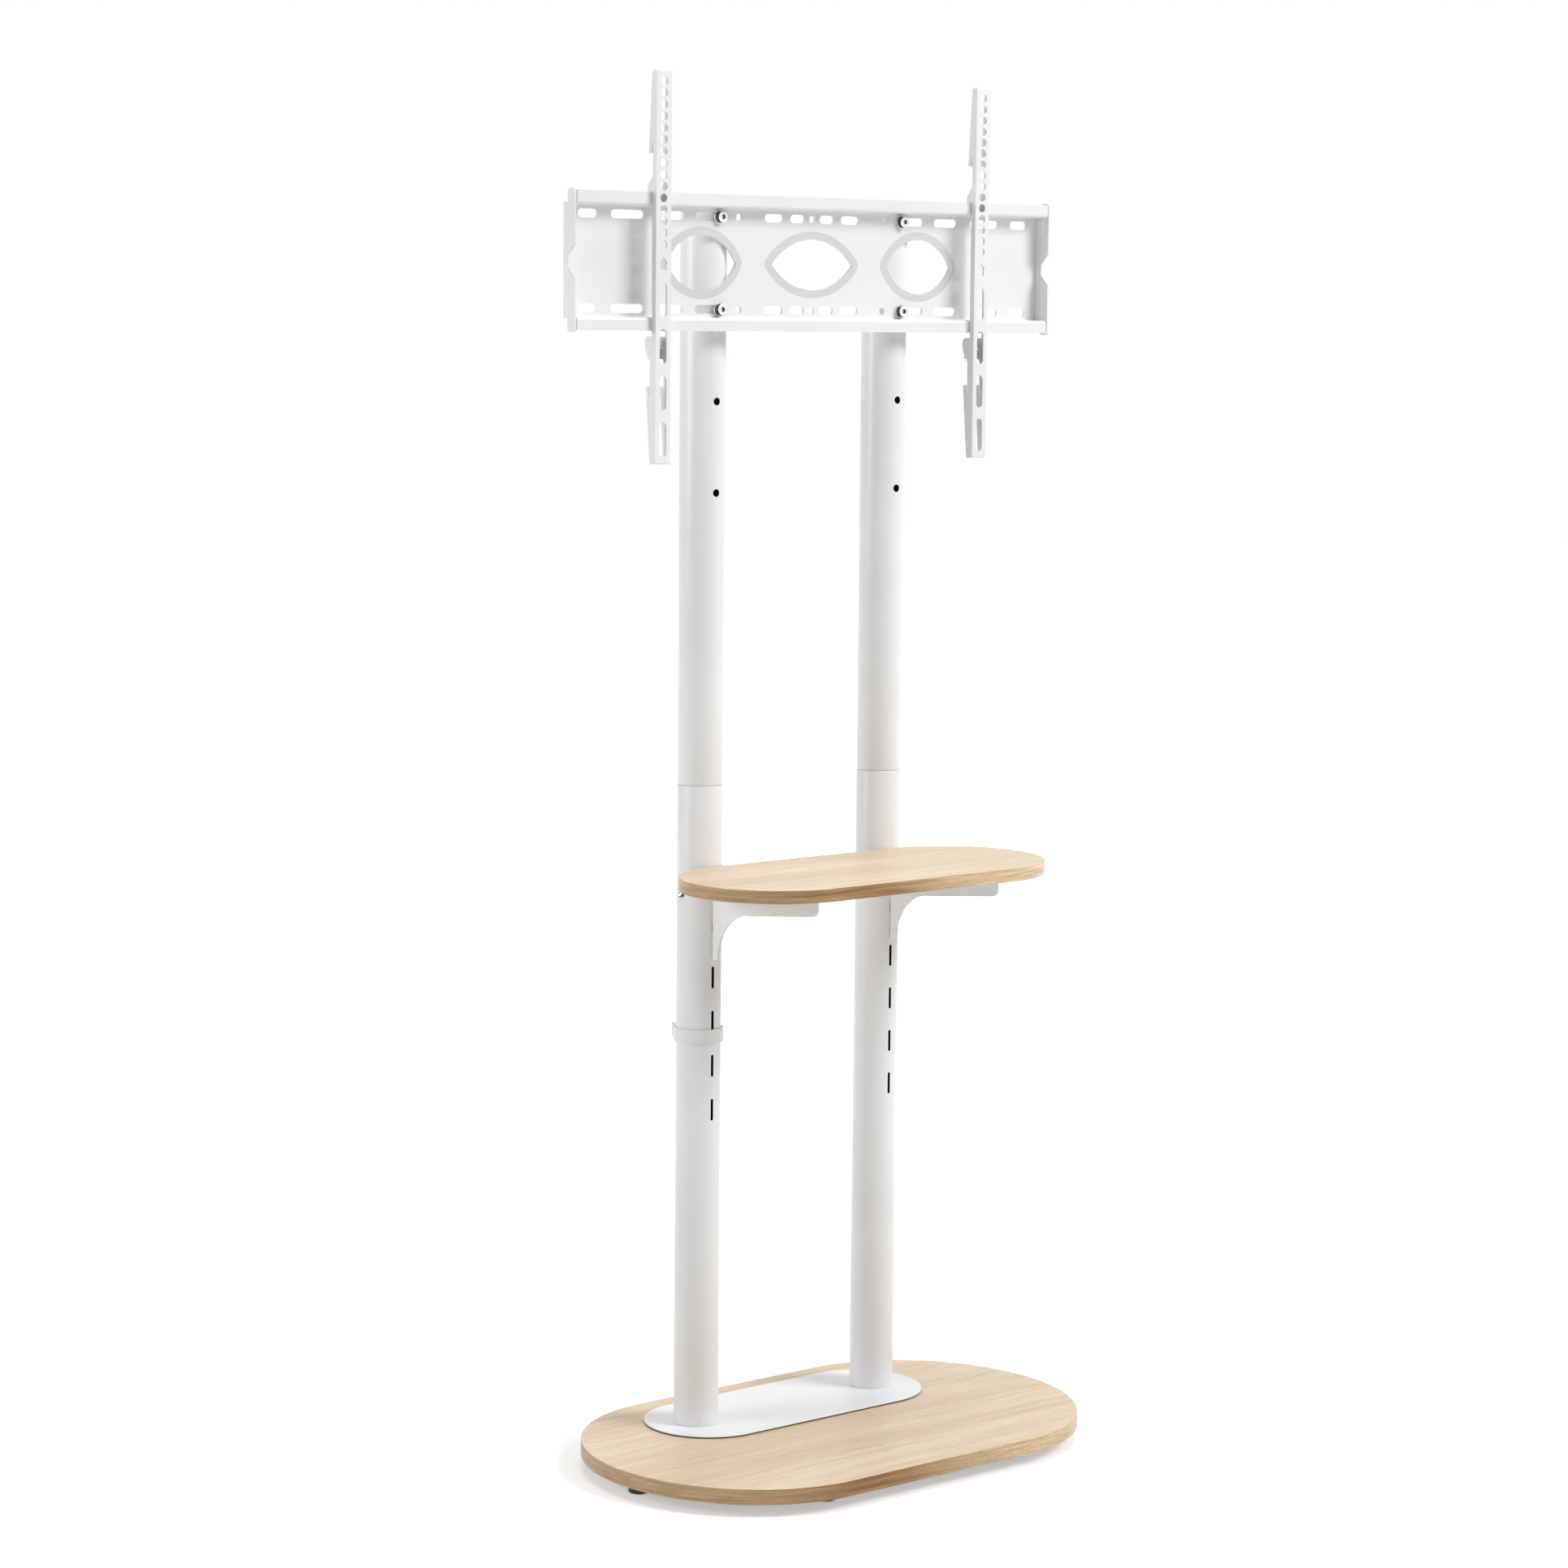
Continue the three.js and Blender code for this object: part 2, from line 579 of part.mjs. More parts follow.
// Flat strip inside the front wall of the upper tube, tapped for the mount bolts.
function threadStrip() {
  const halfWidth = THREAD_STRIP_WIDTH / 2;
  const front = -Math.sqrt((TUBE_INNER_RADIUS - INNER_CLEARANCE) ** 2 - halfWidth ** 2);
  const levels = mountHoleLevels();
  const bottom = levels[levels.length - 1] - THREAD_STRIP_OVERRUN;
  const top = THREAD_STRIP_TOP;
  const outline = new THREE.Shape([
    new THREE.Vector2(-halfWidth, bottom),
    new THREE.Vector2(halfWidth, bottom),
    new THREE.Vector2(halfWidth, top),
    new THREE.Vector2(-halfWidth, top),
  ]);
  const strip = frontwards(outline, THREAD_STRIP_THICKNESS, front + THREAD_STRIP_THICKNESS, 1);
  return cut(strip, mountHoleCutters(MOUNT_BOLT_RADIUS + THREAD_CLEARANCE, 0));
}

// Sleeve that joins the two tubes of a column from inside.
function joiningSleeve() {
  const outer = TUBE_INNER_RADIUS - INNER_CLEARANCE;
  return ring(outer, outer - SLEEVE_WALL, 0, SLEEVE_LENGTH, HIDDEN_STEPS);
}

// Plug in the foot of a column, tapped for the base bolt.
function footPlug() {
  const outer = TUBE_INNER_RADIUS - INNER_CLEARANCE;
  return ring(outer, BASE_BOLT_RADIUS + THREAD_CLEARANCE, 0, FOOT_PLUG_HEIGHT, HIDDEN_STEPS);
}

// Plastic cap on a column: a crowned flange with a short spigot.
function topCap() {
  const spigot = TUBE_INNER_RADIUS - INNER_CLEARANCE;
  const profile = [
    [0, -CAP_SPIGOT_LENGTH],
    [spigot, -CAP_SPIGOT_LENGTH],
    [spigot, 0],
    [TUBE_RADIUS, 0],
    [TUBE_RADIUS, CAP_FLANGE_HEIGHT - CAP_CROWN],
    [TUBE_RADIUS - CAP_CROWN, CAP_FLANGE_HEIGHT],
    [0, CAP_FLANGE_HEIGHT],
  ];
  return turned(profile, TUBE_STEPS);
}

// Cap-head screw along +Z: the head sits below 0 and the shank rises from there.
function headedScrew(size) {
  const { radius, length, headRadius, headHeight, across, depth, ease } = size;
  const profile = [
    [0, -headHeight],
    [headRadius - ease, -headHeight],
    [headRadius, -headHeight + ease],
    [headRadius, 0],
    [radius, 0],
    [radius, length],
    [0, length],
  ];
  return cut(turned(profile, SCREW_STEPS), [socket(across, -headHeight, depth)]);
}

// Hexagon-head bolt that holds a column from under the base.
function baseBolt() {
  const rise = BASE_WASHER_THICKNESS + BASE_THICKNESS - baseBoltSeat() + BASE_PLATE_THICKNESS;
  const head = bar(BASE_BOLT_HEAD_RADIUS, -BASE_BOLT_HEAD_HEIGHT, 0, HEXAGON_SIDES);
  const shank = bar(BASE_BOLT_RADIUS, -HEAD_EASE, rise + BASE_BOLT_THREAD_DEPTH);
  return join([head, shank]);
}

// Mount plate: the lipped channel, closed by end tabs and pierced by slots and eyes.
function mountPlate() {
  const steel = PLATE_STEEL;
  const lip = -PLATE_DEPTH + steel / 2;
  const flange = PLATE_FLANGE_HEIGHT / 2 - steel / 2;
  const section = bentSheet(
    [
      [lip, -PLATE_HEIGHT / 2],
      [lip, -flange],
      [-steel / 2, -flange],
      [-steel / 2, flange],
      [lip, flange],
      [lip, PLATE_HEIGHT / 2],
    ],
    steel,
    PLATE_BEND_RADIUS,
  );
  const channelLength = PLATE_LENGTH - 2 * (steel + LIP_END_RELIEF);
  const channel = crosswise(section, channelLength, 0, 1);
  const end = PLATE_LENGTH / 2 - steel / 2;
  const tray = slab(
    bentSheet(
      [[-end, -PLATE_DEPTH], [-end, -steel / 2], [end, -steel / 2], [end, -PLATE_DEPTH]],
      steel,
      PLATE_BEND_RADIUS,
    ),
    PLATE_FLANGE_HEIGHT,
    1,
  ).translate(0, 0, -PLATE_FLANGE_HEIGHT / 2);
  const ears = Object.values(SIDES).flatMap((side) =>
    Object.values(SIDES).map((above) => crosswise(earOutline(above), steel, side * end, BEND_STEPS)),
  );
  const rims = Object.values(eyePlaces()).map(({ x, halfWidth, halfHeight }) =>
    eyeRim(x, halfWidth, halfHeight),
  );
  return cut(join([channel, tray, ...ears, ...rims]), [...webCutters(), ...notchCutters(end)]);
}

// Ear at an end of a lip, drawn in Y and Z.
function earOutline(above) {
  const tip = above * (PLATE_HEIGHT / 2 + EAR_OVERREACH);
  const root = above * (PLATE_FLANGE_HEIGHT / 2 - PLATE_STEEL);
  const back = EAR_DEPTH - PLATE_DEPTH;
  return roundedPolygon([
    [-PLATE_DEPTH, root],
    [-PLATE_DEPTH, tip, EAR_CORNER_RADIUS],
    [back, tip, EAR_CORNER_RADIUS],
    [back, root],
  ]);
}

// Places and sizes of the three eye openings.
function eyePlaces() {
  const { centre, side } = EYES;
  return {
    left: { x: -side.offset, ...side },
    centre: { x: centre.offset, ...centre },
    right: { x: side.offset, ...side },
  };
}

// Raised rim round an eye, pressed out of the web.
function eyeRim(x, halfWidth, halfHeight) {
  const rim = eyeOutline(x, halfWidth + EYE_RIM_WIDTH, halfHeight + EYE_RIM_WIDTH);
  const height = PLATE_STEEL + EYE_RIM_HEIGHT;
  return frontwards(rim, height, 0, ARC_STEPS, EYE_RIM_BEVEL);
}

// Cutters for everything that pierces the web.
function webCutters() {
  const depth = PLATE_DEPTH;
  const start = CUT_OVERRUN;
  const rows = Object.values(SIDES).map((above) => above * MOUNT_BOLT_DROP);
  const slots = rows.flatMap((z) =>
    Object.values(SIDES).flatMap((side) =>
      Object.values(WEB_SLOTS).map(({ offset, length }) => {
        const outline = slotOutline(side * offset, z, length, WEB_SLOT_HEIGHT);
        return frontwards(outline, depth, start, SLOT_CURVE_STEPS);
      }),
    ),
  );
  const holes = rows.flatMap((z) =>
    [-SMALL_HOLE_OFFSET, 0, SMALL_HOLE_OFFSET].map((x) =>
      frontwards(discOutline(x, z, SMALL_HOLE_DIAMETER / 2), depth, start, HOLE_CURVE_STEPS),
    ),
  );
  const eyes = Object.values(eyePlaces()).map(({ x, halfWidth, halfHeight }) =>
    frontwards(eyeOutline(x, halfWidth, halfHeight), depth, start, ARC_STEPS),
  );
  return [...slots, ...holes, ...eyes];
}

// Cutters for the notch in the front edge of each end tab.
function notchCutters(end) {
  const outline = new THREE.Shape([
    new THREE.Vector2(-PLATE_DEPTH - CUT_OVERRUN, -END_NOTCH_MOUTH / 2 - CUT_OVERRUN),
    new THREE.Vector2(-PLATE_DEPTH + END_NOTCH_DEPTH, -END_NOTCH_FLOOR / 2),
    new THREE.Vector2(-PLATE_DEPTH + END_NOTCH_DEPTH, END_NOTCH_FLOOR / 2),
    new THREE.Vector2(-PLATE_DEPTH - CUT_OVERRUN, END_NOTCH_MOUTH / 2 + CUT_OVERRUN),
  ]);
  return Object.values(SIDES).map((side) =>
    crosswise(outline, PLATE_STEEL + 2 * CUT_OVERRUN, side * end, 1),
  );
}

// Side wall of a television arm, drawn with depth behind the front face and height from the
// mount's centre: horns at both ends, a hook over the upper lip and a lobe under the lower one.
function armWallOutline() {
  const top = ARM_TOP_LEVEL - MOUNT_LEVEL;
  const bottom = ARM_BOTTOM_LEVEL - MOUNT_LEVEL;
  const lipTop = PLATE_HEIGHT / 2 + ARM_FIT;
  const lipFront = ARM_STANDOFF - ARM_FIT;
  const lipBack = ARM_STANDOFF + PLATE_STEEL + ARM_FIT;
  const hookBottom = lipTop - ARM_HOOK_FINGER;
  const lobeTop = -PLATE_HEIGHT / 2 - ARM_LOBE_TOP_DROP;
  const lobeBottom = lobeTop - ARM_LOBE_HEIGHT;
  return roundedPolygon([
    [0, bottom, ARM_STEEL],
    ...armHorn(ARM_LOWER_HALF, bottom, 1),
    [ARM_LOWER_HALF.neckDepth, lobeBottom],
    [ARM_LOBE_DEPTH, lobeBottom + ARM_LOBE_HEIGHT / 2, ARM_LOBE_ROUNDING],
    [ARM_LOBE_DEPTH, lobeTop, ARM_LOBE_ROUNDING],
    [lipFront, lobeTop],
    [lipFront, lipTop],
    [lipBack, lipTop],
    [lipBack, hookBottom],
    [ARM_HOOK_DEPTH, hookBottom],
    [ARM_HOOK_DEPTH, lipTop + ARM_HOOK_SHOULDER, ARM_END_ROUNDING],
    [ARM_UPPER_HALF.neckDepth, lipTop + ARM_HOOK_RISE],
    ...armHorn(ARM_UPPER_HALF, top, -1).reverse(),
    [0, top, ARM_STEEL],
  ]);
}

// Corners of the side wall from one end of the arm to the neck: it deepens to a finger that a
// narrow slit parts from the neck. The wall runs inwards, which is 1 for upwards from that end.
function armHorn({ endDepth, hornDepth, hornInset, neckDepth }, end, inwards) {
  const tip = end + inwards * hornInset;
  const slitEnd = tip - inwards * ARM_HORN_SLIT_DEPTH;
  const fingerFront = neckDepth + ARM_HORN_SLIT_WIDTH;
  return [
    [endDepth, end, ARM_END_ROUNDING],
    [hornDepth, tip, ARM_HORN_ROUNDING],
    [fingerFront, tip, ARM_HORN_ROUNDING],
    [fingerFront, slitEnd],
    [neckDepth, slitEnd],
  ];
}

// Television arm: a channel with hooked side walls, a row of round holes and four long slots.
function televisionArm() {
  const top = ARM_TOP_LEVEL - MOUNT_LEVEL;
  const bottom = ARM_BOTTOM_LEVEL - MOUNT_LEVEL;
  const walls = crosswise(armWallOutline(), ARM_WIDTH, 0, BEND_STEPS);
  const half = ARM_WIDTH / 2;
  const deep = ARM_LOBE_DEPTH + CUT_OVERRUN;
  const plan = roundedPolygon([
    [-half, 0, ARM_BEND_RADIUS],
    [half, 0, ARM_BEND_RADIUS],
    [half, deep],
    [-half, deep],
  ]);
  const column = slab(plan, top - bottom, BEND_STEPS).translate(0, 0, bottom);
  const hollow = new THREE.BoxGeometry(
    ARM_WIDTH - 2 * ARM_STEEL,
    deep,
    top - bottom + 2 * CUT_OVERRUN,
  ).translate(0, deep / 2 + ARM_STEEL, (top + bottom) / 2);
  const holes = Array.from({ length: ARM_HOLE_COUNT }, (_, i) => {
    const z = top - ARM_FIRST_HOLE_INSET - i * ARM_HOLE_PITCH;
    return frontwards(discOutline(0, z, ARM_HOLE_DIAMETER / 2), deep, deep / 2, ARM_HOLE_STEPS);
  });
  const slots = Array.from({ length: ARM_SLOT_COUNT }, (_, i) => {
    const z = bottom + ARM_LAST_SLOT_INSET + i * ARM_SLOT_PITCH;
    const outline = slotOutline(0, z, ARM_HOLE_DIAMETER, ARM_SLOT_LENGTH);
    return frontwards(outline, deep, deep / 2, SLOT_CURVE_STEPS);
  });
  return cut(common(walls, column), [hollow, ...holes, ...slots]);
}

// Lock tab: a bridge between the side walls, bored for the lock screw.
function lockTab() {
  const half = ARM_WIDTH / 2 - ARM_STEEL - ARM_FIT - LOCK_TAB_STEEL / 2;
  const outline = bentSheet(
    [[-half, -LOCK_TAB_LEG], [-half, 0], [half, 0], [half, -LOCK_TAB_LEG]],
    LOCK_TAB_STEEL,
    LOCK_TAB_STEEL,
  );
  const back = ARM_LOBE_DEPTH - ARM_FIT;
  const tab = frontwards(outline, LOCK_TAB_DEPTH, back, 1);
  const bore = bar(
    LOCK_SCREW_RADIUS + LOCK_SCREW_CLEARANCE,
    -LOCK_TAB_STEEL,
    LOCK_TAB_STEEL,
  ).translate(0, LOCK_SCREW_SETBACK, 0);
  return cut(tab, [bore]);
}

// Shelf bracket blade, drawn in Y and Z from the column's axis and the shelf's underside.
function bracketOutline() {
  const back = -TUBE_RADIUS - BRACKET_FIT;
  const front = back - BRACKET_REACH;
  const throat = back - BRACKET_THROAT_REACH;
  const tip = back - BRACKET_TIP_WIDTH;
  const throatRise = BRACKET_HEIGHT - BRACKET_THROAT_DROP;
  const shape = new THREE.Shape();
  shape.moveTo(back, 0);
  shape.lineTo(front, 0);
  shape.lineTo(front, -BRACKET_END_HEIGHT + BRACKET_END_ROUNDING);
  shape.quadraticCurveTo(front, -BRACKET_END_HEIGHT, front + BRACKET_END_ROUNDING, -BRACKET_END_HEIGHT);
  shape.lineTo(throat, -BRACKET_THROAT_DROP);
  shape.absellipse(throat, -BRACKET_HEIGHT, tip - throat, throatRise, Math.PI / 2, 0, true);
  shape.lineTo(back, -BRACKET_HEIGHT);
  shape.closePath();
  return shape;
}

// A hook that passes a slot of the column and drops behind its wall.
function hookOutline(slotLevel, reach) {
  const neckBottom = slotLevel - HOOK_DROP_IN_SLOT - SHELF_BOTTOM;
  const neckTop = neckBottom + HOOK_NECK_HEIGHT;
  const outside = -TUBE_RADIUS - BRACKET_FIT - BRACKET_STEEL;
  const inside = -TUBE_INNER_RADIUS + BRACKET_FIT;
  return new THREE.Shape([
    new THREE.Vector2(outside, neckBottom),
    new THREE.Vector2(inside, neckBottom),
    new THREE.Vector2(inside, neckBottom - HOOK_DROP),
    new THREE.Vector2(inside + HOOK_THICKNESS, neckBottom - HOOK_DROP),
    new THREE.Vector2(inside + HOOK_THICKNESS, neckBottom),
    new THREE.Vector2(reach, neckBottom),
    new THREE.Vector2(reach, neckTop),
    new THREE.Vector2(outside, neckTop),
  ]);
}

// Shelf bracket: a blade with two hooks, and a flange under the shelf that points inwards.
function shelfBracket(side) {
  const blade = crosswise(bracketOutline(), BRACKET_STEEL, 0, ARC_STEPS);
  const tongue = crosswise(hookOutline(TOP_SLOT_LEVEL, TONGUE_REACH), BRACKET_STEEL, 0, 1);
  const neckEnd = -TUBE_INNER_RADIUS + BRACKET_FIT + HOOK_THICKNESS;
  const hook = crosswise(
    hookOutline(TOP_SLOT_LEVEL - SHELF_SLOT_PITCH, neckEnd - BRACKET_FIT),
    BRACKET_STEEL,
    0,
    1,
  );
  const flangeLength = BRACKET_REACH - BRACKET_FLANGE_START;
  const flange = new THREE.BoxGeometry(BRACKET_FLANGE_WIDTH, flangeLength, BRACKET_STEEL).translate(
    -side * (BRACKET_FLANGE_WIDTH / 2 - BRACKET_STEEL / 2),
    -TUBE_RADIUS - BRACKET_FIT - BRACKET_FLANGE_START - flangeLength / 2,
    -BRACKET_STEEL / 2,
  );
  const holes = SHELF_SCREW_REACHES.map((reach) =>
    bar(SHELF_SCREW_RADIUS + SHELF_SCREW_CLEARANCE, -BRACKET_STEEL - CUT_OVERRUN, CUT_OVERRUN).translate(
      -side * shelfScrewInset(),
      -TUBE_RADIUS - reach,
      0,
    ),
  );
  return cut(join([blade, tongue, hook, flange]), holes);
}

// Distance of the shelf screws from the blade, in the middle of the free flange.
function shelfScrewInset() {
  return (BRACKET_FLANGE_WIDTH + BRACKET_STEEL) / 2 - BRACKET_STEEL / 2;
}

// Places of the shelf screws, from the column's axis plane.
function shelfScrewPlaces() {
  return Object.entries(SIDES).flatMap(([name, side]) =>
    SHELF_SCREW_REACHES.map((reach, i) => ({
      name: `${name}_shelf_screw_${i === 0 ? "back" : "front"}`,
      x: side * (COLUMN_SPACING / 2 - shelfScrewInset()),
      y: COLUMN_SETBACK - TUBE_RADIUS - reach,
    })),
  );
}

// Shelf board: an eased oval with pilot holes for its screws.
function shelfBoard() {
  const outline = ovalOutline(SHELF_WIDTH, SHELF_DEPTH, SHELF_DEPTH / 2);
  const board = slab(outline, SHELF_THICKNESS, BOARD_CURVE_STEPS, SHELF_EDGE_EASE);
  const bite = SHELF_SCREW_LENGTH - BRACKET_STEEL + SHELF_SCREW_CLEARANCE;
  const pilots = shelfScrewPlaces().map(({ x, y }) =>
    bar(SHELF_SCREW_RADIUS + SHELF_SCREW_CLEARANCE, -CUT_OVERRUN, bite).translate(
      x,
      y - SHELF_CENTRE,
      0,
    ),
  );
  return cut(board, pilots);
}

// Cable clip: a spring ring, open at the back, where a smaller open loop takes the cables.
function cableClip() {
  const inner = TUBE_RADIUS + CLIP_FIT;
  const outer = inner + CLIP_WALL;
  const loopCentre = outer + CLIP_LOOP_RADIUS - CLIP_WALL;
  const round = (x, y, radius) => slab(discOutline(x, y, radius), CLIP_HEIGHT, ARC_STEPS * 2);
  const body = join([round(0, 0, outer), round(0, loopCentre, CLIP_LOOP_RADIUS)]);
  const tall = CLIP_HEIGHT + 2 * CUT_OVERRUN;
  const bore = bar(inner, -CUT_OVERRUN, CLIP_HEIGHT + CUT_OVERRUN, TUBE_STEPS);
  const loopBore = bar(
    CLIP_LOOP_RADIUS - CLIP_WALL,
    -CUT_OVERRUN,
    CLIP_HEIGHT + CUT_OVERRUN,
    TUBE_STEPS / 2,
  ).translate(0, loopCentre, 0);
  const gap = new THREE.BoxGeometry(CLIP_GAP, 2 * CLIP_WALL + CUT_OVERRUN, tall).translate(
    0,
    inner + CLIP_WALL / 2,
    CLIP_HEIGHT / 2,
  );
  const mouth = new THREE.BoxGeometry(CLIP_LOOP_MOUTH, CLIP_LOOP_RADIUS, tall).translate(
    0,
    loopCentre + CLIP_LOOP_RADIUS,
    CLIP_HEIGHT / 2,
  );
  return cut(body, [bore, loopBore, gap, mouth]);
}

// Base: board, feet with their inserts, steel plate, and the bolts of the columns.
function makeBase() {
  const base = new THREE.Group();
  base.add(part("base_board", baseBoard(), OAK_FOIL, [0, 0, FOOT_HEIGHT]));
  base.add(part("base_plate", basePlate(), WHITE_STEEL, [0, COLUMN_SETBACK, BASE_TOP]));
  Object.entries(footPlaces()).forEach(([name, [x, y]]) => {
    base.add(part(`foot_${name}`, levellingFoot(), BLACK_STEEL, [x, y, 0]));
    const insert = ring(
      INSERT_RADIUS,
      FOOT_STUD_RADIUS + INSERT_CLEARANCE,
      INSERT_CLEARANCE,
      INSERT_LENGTH,
      SCREW_STEPS,
    );
    base.add(part(`foot_insert_${name}`, insert, ZINC, [x, y, FOOT_HEIGHT]));
  });
  return base;
}

// One column, standing on the origin of its own group.
function makeColumn(name, side) {
  const column = new THREE.Group();
  column.position.set((side * COLUMN_SPACING) / 2, COLUMN_SETBACK, 0);
  const seatLevel = FOOT_HEIGHT + baseBoltSeat();
  const washer = ring(
    BASE_WASHER_RADIUS,
    BASE_BOLT_RADIUS + BASE_BOLT_CLEARANCE,
    0,
    BASE_WASHER_THICKNESS,
    FOOT_STEPS,
  );
  const sideScrewLength = TUBE_RADIUS - BRACKET_STEEL / 2 - SIDE_SCREW_FIT;
  const sideScrew = headedScrew({
    radius: SIDE_SCREW_RADIUS,
    length: sideScrewLength,
    headRadius: SIDE_SCREW_HEAD_RADIUS,
    headHeight: SIDE_SCREW_HEAD_HEIGHT,
    across: SIDE_SCREW_SOCKET,
    depth: SIDE_SCREW_SOCKET_DEPTH,
    ease: HEAD_EASE,
  }).rotateY((-side * Math.PI) / 2);
  const sideScrewSeat = side * (TUBE_RADIUS + SIDE_SCREW_SPOT_FACE);
  column.add(
    part(`${name}_lower_tube`, lowerTube(side), WHITE_STEEL, [0, 0, BASE_PLATE_TOP]),
    part(`${name}_upper_tube`, upperTube(), WHITE_STEEL, [0, 0, UPPER_TUBE_BOTTOM]),
    part(`${name}_joining_sleeve`, joiningSleeve(), ZINC, [0, 0, SEAM_LEVEL - SLEEVE_LENGTH / 2]),
    part(`${name}_foot_plug`, footPlug(), ZINC, [0, 0, BASE_PLATE_TOP]),
    part(`${name}_top_cap`, topCap(), WHITE_PLASTIC, [0, 0, COLUMN_TOP]),
    part(`${name}_thread_strip`, threadStrip(), DARK_STEEL),
    part(`${name}_base_washer`, washer, ZINC, [0, 0, seatLevel - BASE_WASHER_THICKNESS]),
    part(`${name}_base_bolt`, baseBolt(), ZINC, [0, 0, seatLevel - BASE_WASHER_THICKNESS]),
    part(`${name}_side_screw`, sideScrew, ZINC, [sideScrewSeat, 0, SIDE_SCREW_LEVEL]),
  );
  return column;
}

// Mount: the plate with its bolts and washers.
function makeMount() {
  const mount = new THREE.Group();
  mount.position.set(0, PLATE_BACK, MOUNT_LEVEL);
  mount.add(part("mount_plate", mountPlate(), WHITE_STEEL));
  const washer = ring(
    MOUNT_WASHER_RADIUS,
    MOUNT_BOLT_RADIUS + MOUNT_HOLE_CLEARANCE,
    0,
    MOUNT_WASHER_THICKNESS,
    FOOT_STEPS,
  ).rotateX(Math.PI / 2);
  const bolt = headedScrew({
    radius: MOUNT_BOLT_RADIUS,
    length: MOUNT_WASHER_THICKNESS + PLATE_STEEL + MOUNT_BOLT_REACH,
    headRadius: MOUNT_BOLT_HEAD_RADIUS,
    headHeight: MOUNT_BOLT_HEAD_HEIGHT,
    across: MOUNT_BOLT_SOCKET,
    depth: MOUNT_BOLT_SOCKET_DEPTH,
    ease: HEAD_EASE,
  }).rotateX(-Math.PI / 2);
  const webFront = -PLATE_STEEL - PLATE_TO_TUBE_GAP;
  Object.entries(SIDES).forEach(([name, side]) =>
    Object.entries({ upper: 1, lower: -1 }).forEach(([row, above]) => {
      const x = (side * COLUMN_SPACING) / 2;
      const z = above * MOUNT_BOLT_DROP;
      mount.add(
        part(`${name}_${row}_mount_washer`, washer.clone(), ZINC, [x, webFront, z]),
        part(`${name}_${row}_mount_bolt`, bolt.clone(), ZINC, [
          x,
          webFront - MOUNT_WASHER_THICKNESS - THREAD_CLEARANCE,
          z,
        ]),
      );
    }),
  );
  return mount;
}

// One television arm with its lock tab and lock screw.
function makeArm(name, side) {
  const arm = new THREE.Group();
  arm.position.set(side * ARM_OFFSET, ARM_FRONT, MOUNT_LEVEL);
  const lipBottom = -PLATE_HEIGHT / 2;
  const screwTop = lipBottom - LOCK_SCREW_TOP_DROP;
  const screw = headedScrew({
    radius: LOCK_SCREW_RADIUS,
    length: LOCK_SCREW_LENGTH,
    headRadius: LOCK_SCREW_HEAD_RADIUS,
    headHeight: LOCK_SCREW_HEAD_HEIGHT,
    across: LOCK_SCREW_SOCKET,
    depth: LOCK_SCREW_HEAD_HEIGHT / 2,
    ease: HEAD_EASE,
  });
  arm.add(
    part(`${name}_television_arm`, televisionArm(), WHITE_STEEL),
    part(`${name}_lock_tab`, lockTab(), WHITE_STEEL, [0, 0, lipBottom - LOCK_TAB_DROP]),
    part(`${name}_lock_screw`, screw, DARK_STEEL, [
      0,
      LOCK_SCREW_SETBACK,
      screwTop - LOCK_SCREW_LENGTH,
    ]),
  );
  return arm;
}

// Shelf: the board with its brackets and screws.
function makeShelf() {
  const shelf = new THREE.Group();
  shelf.add(part("shelf_board", shelfBoard(), OAK_FOIL, [0, SHELF_CENTRE, SHELF_BOTTOM]));
  Object.entries(SIDES).forEach(([name, side]) => {
    const place = [(side * COLUMN_SPACING) / 2, COLUMN_SETBACK, SHELF_BOTTOM];
    shelf.add(part(`${name}_shelf_bracket`, shelfBracket(side), WHITE_STEEL, place));
  });
  const screw = headedScrew({
    radius: SHELF_SCREW_RADIUS,
    length: SHELF_SCREW_LENGTH,
    headRadius: SHELF_SCREW_HEAD_RADIUS,
    headHeight: SHELF_SCREW_HEAD_HEIGHT,
    across: SHELF_SCREW_RADIUS,
    depth: SHELF_SCREW_HEAD_HEIGHT / 2,
    ease: SHELF_SCREW_HEAD_HEIGHT / 3,
  });
  const screwLevel = SHELF_BOTTOM - BRACKET_STEEL - SHELF_SCREW_CLEARANCE;
  shelfScrewPlaces().forEach(({ name, x, y }) =>
    shelf.add(part(name, screw.clone(), ZINC, [x, y, screwLevel])),
  );
  return shelf;
}

// The whole stand.
const stand = new THREE.Group();
stand.add(makeBase(), makeMount(), makeShelf());
Object.entries(SIDES).forEach(([name, side]) => {
  stand.add(makeColumn(name, side), makeArm(name, side));
});
const clipPlace = [-COLUMN_SPACING / 2, COLUMN_SETBACK, CLIP_LEVEL - CLIP_HEIGHT / 2];
stand.add(part("cable_clip", cableClip(), WHITE_PLASTIC, clipPlace));

export default stand;
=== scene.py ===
"""A floor stand for a television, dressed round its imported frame.

Two white columns rise from an oak base. They carry a slotted mount plate with two television
arms, a shelf that hooks into the columns, and a cable clip. Lengths are written in millimetres,
and the workshop functions turn them into metres. The television side faces -Y.
"""

import logging
import math
from collections.abc import Callable, Iterable, Sequence
from dataclasses import dataclass
from enum import Enum

import bmesh
import bpy
from mathutils import Matrix, Vector

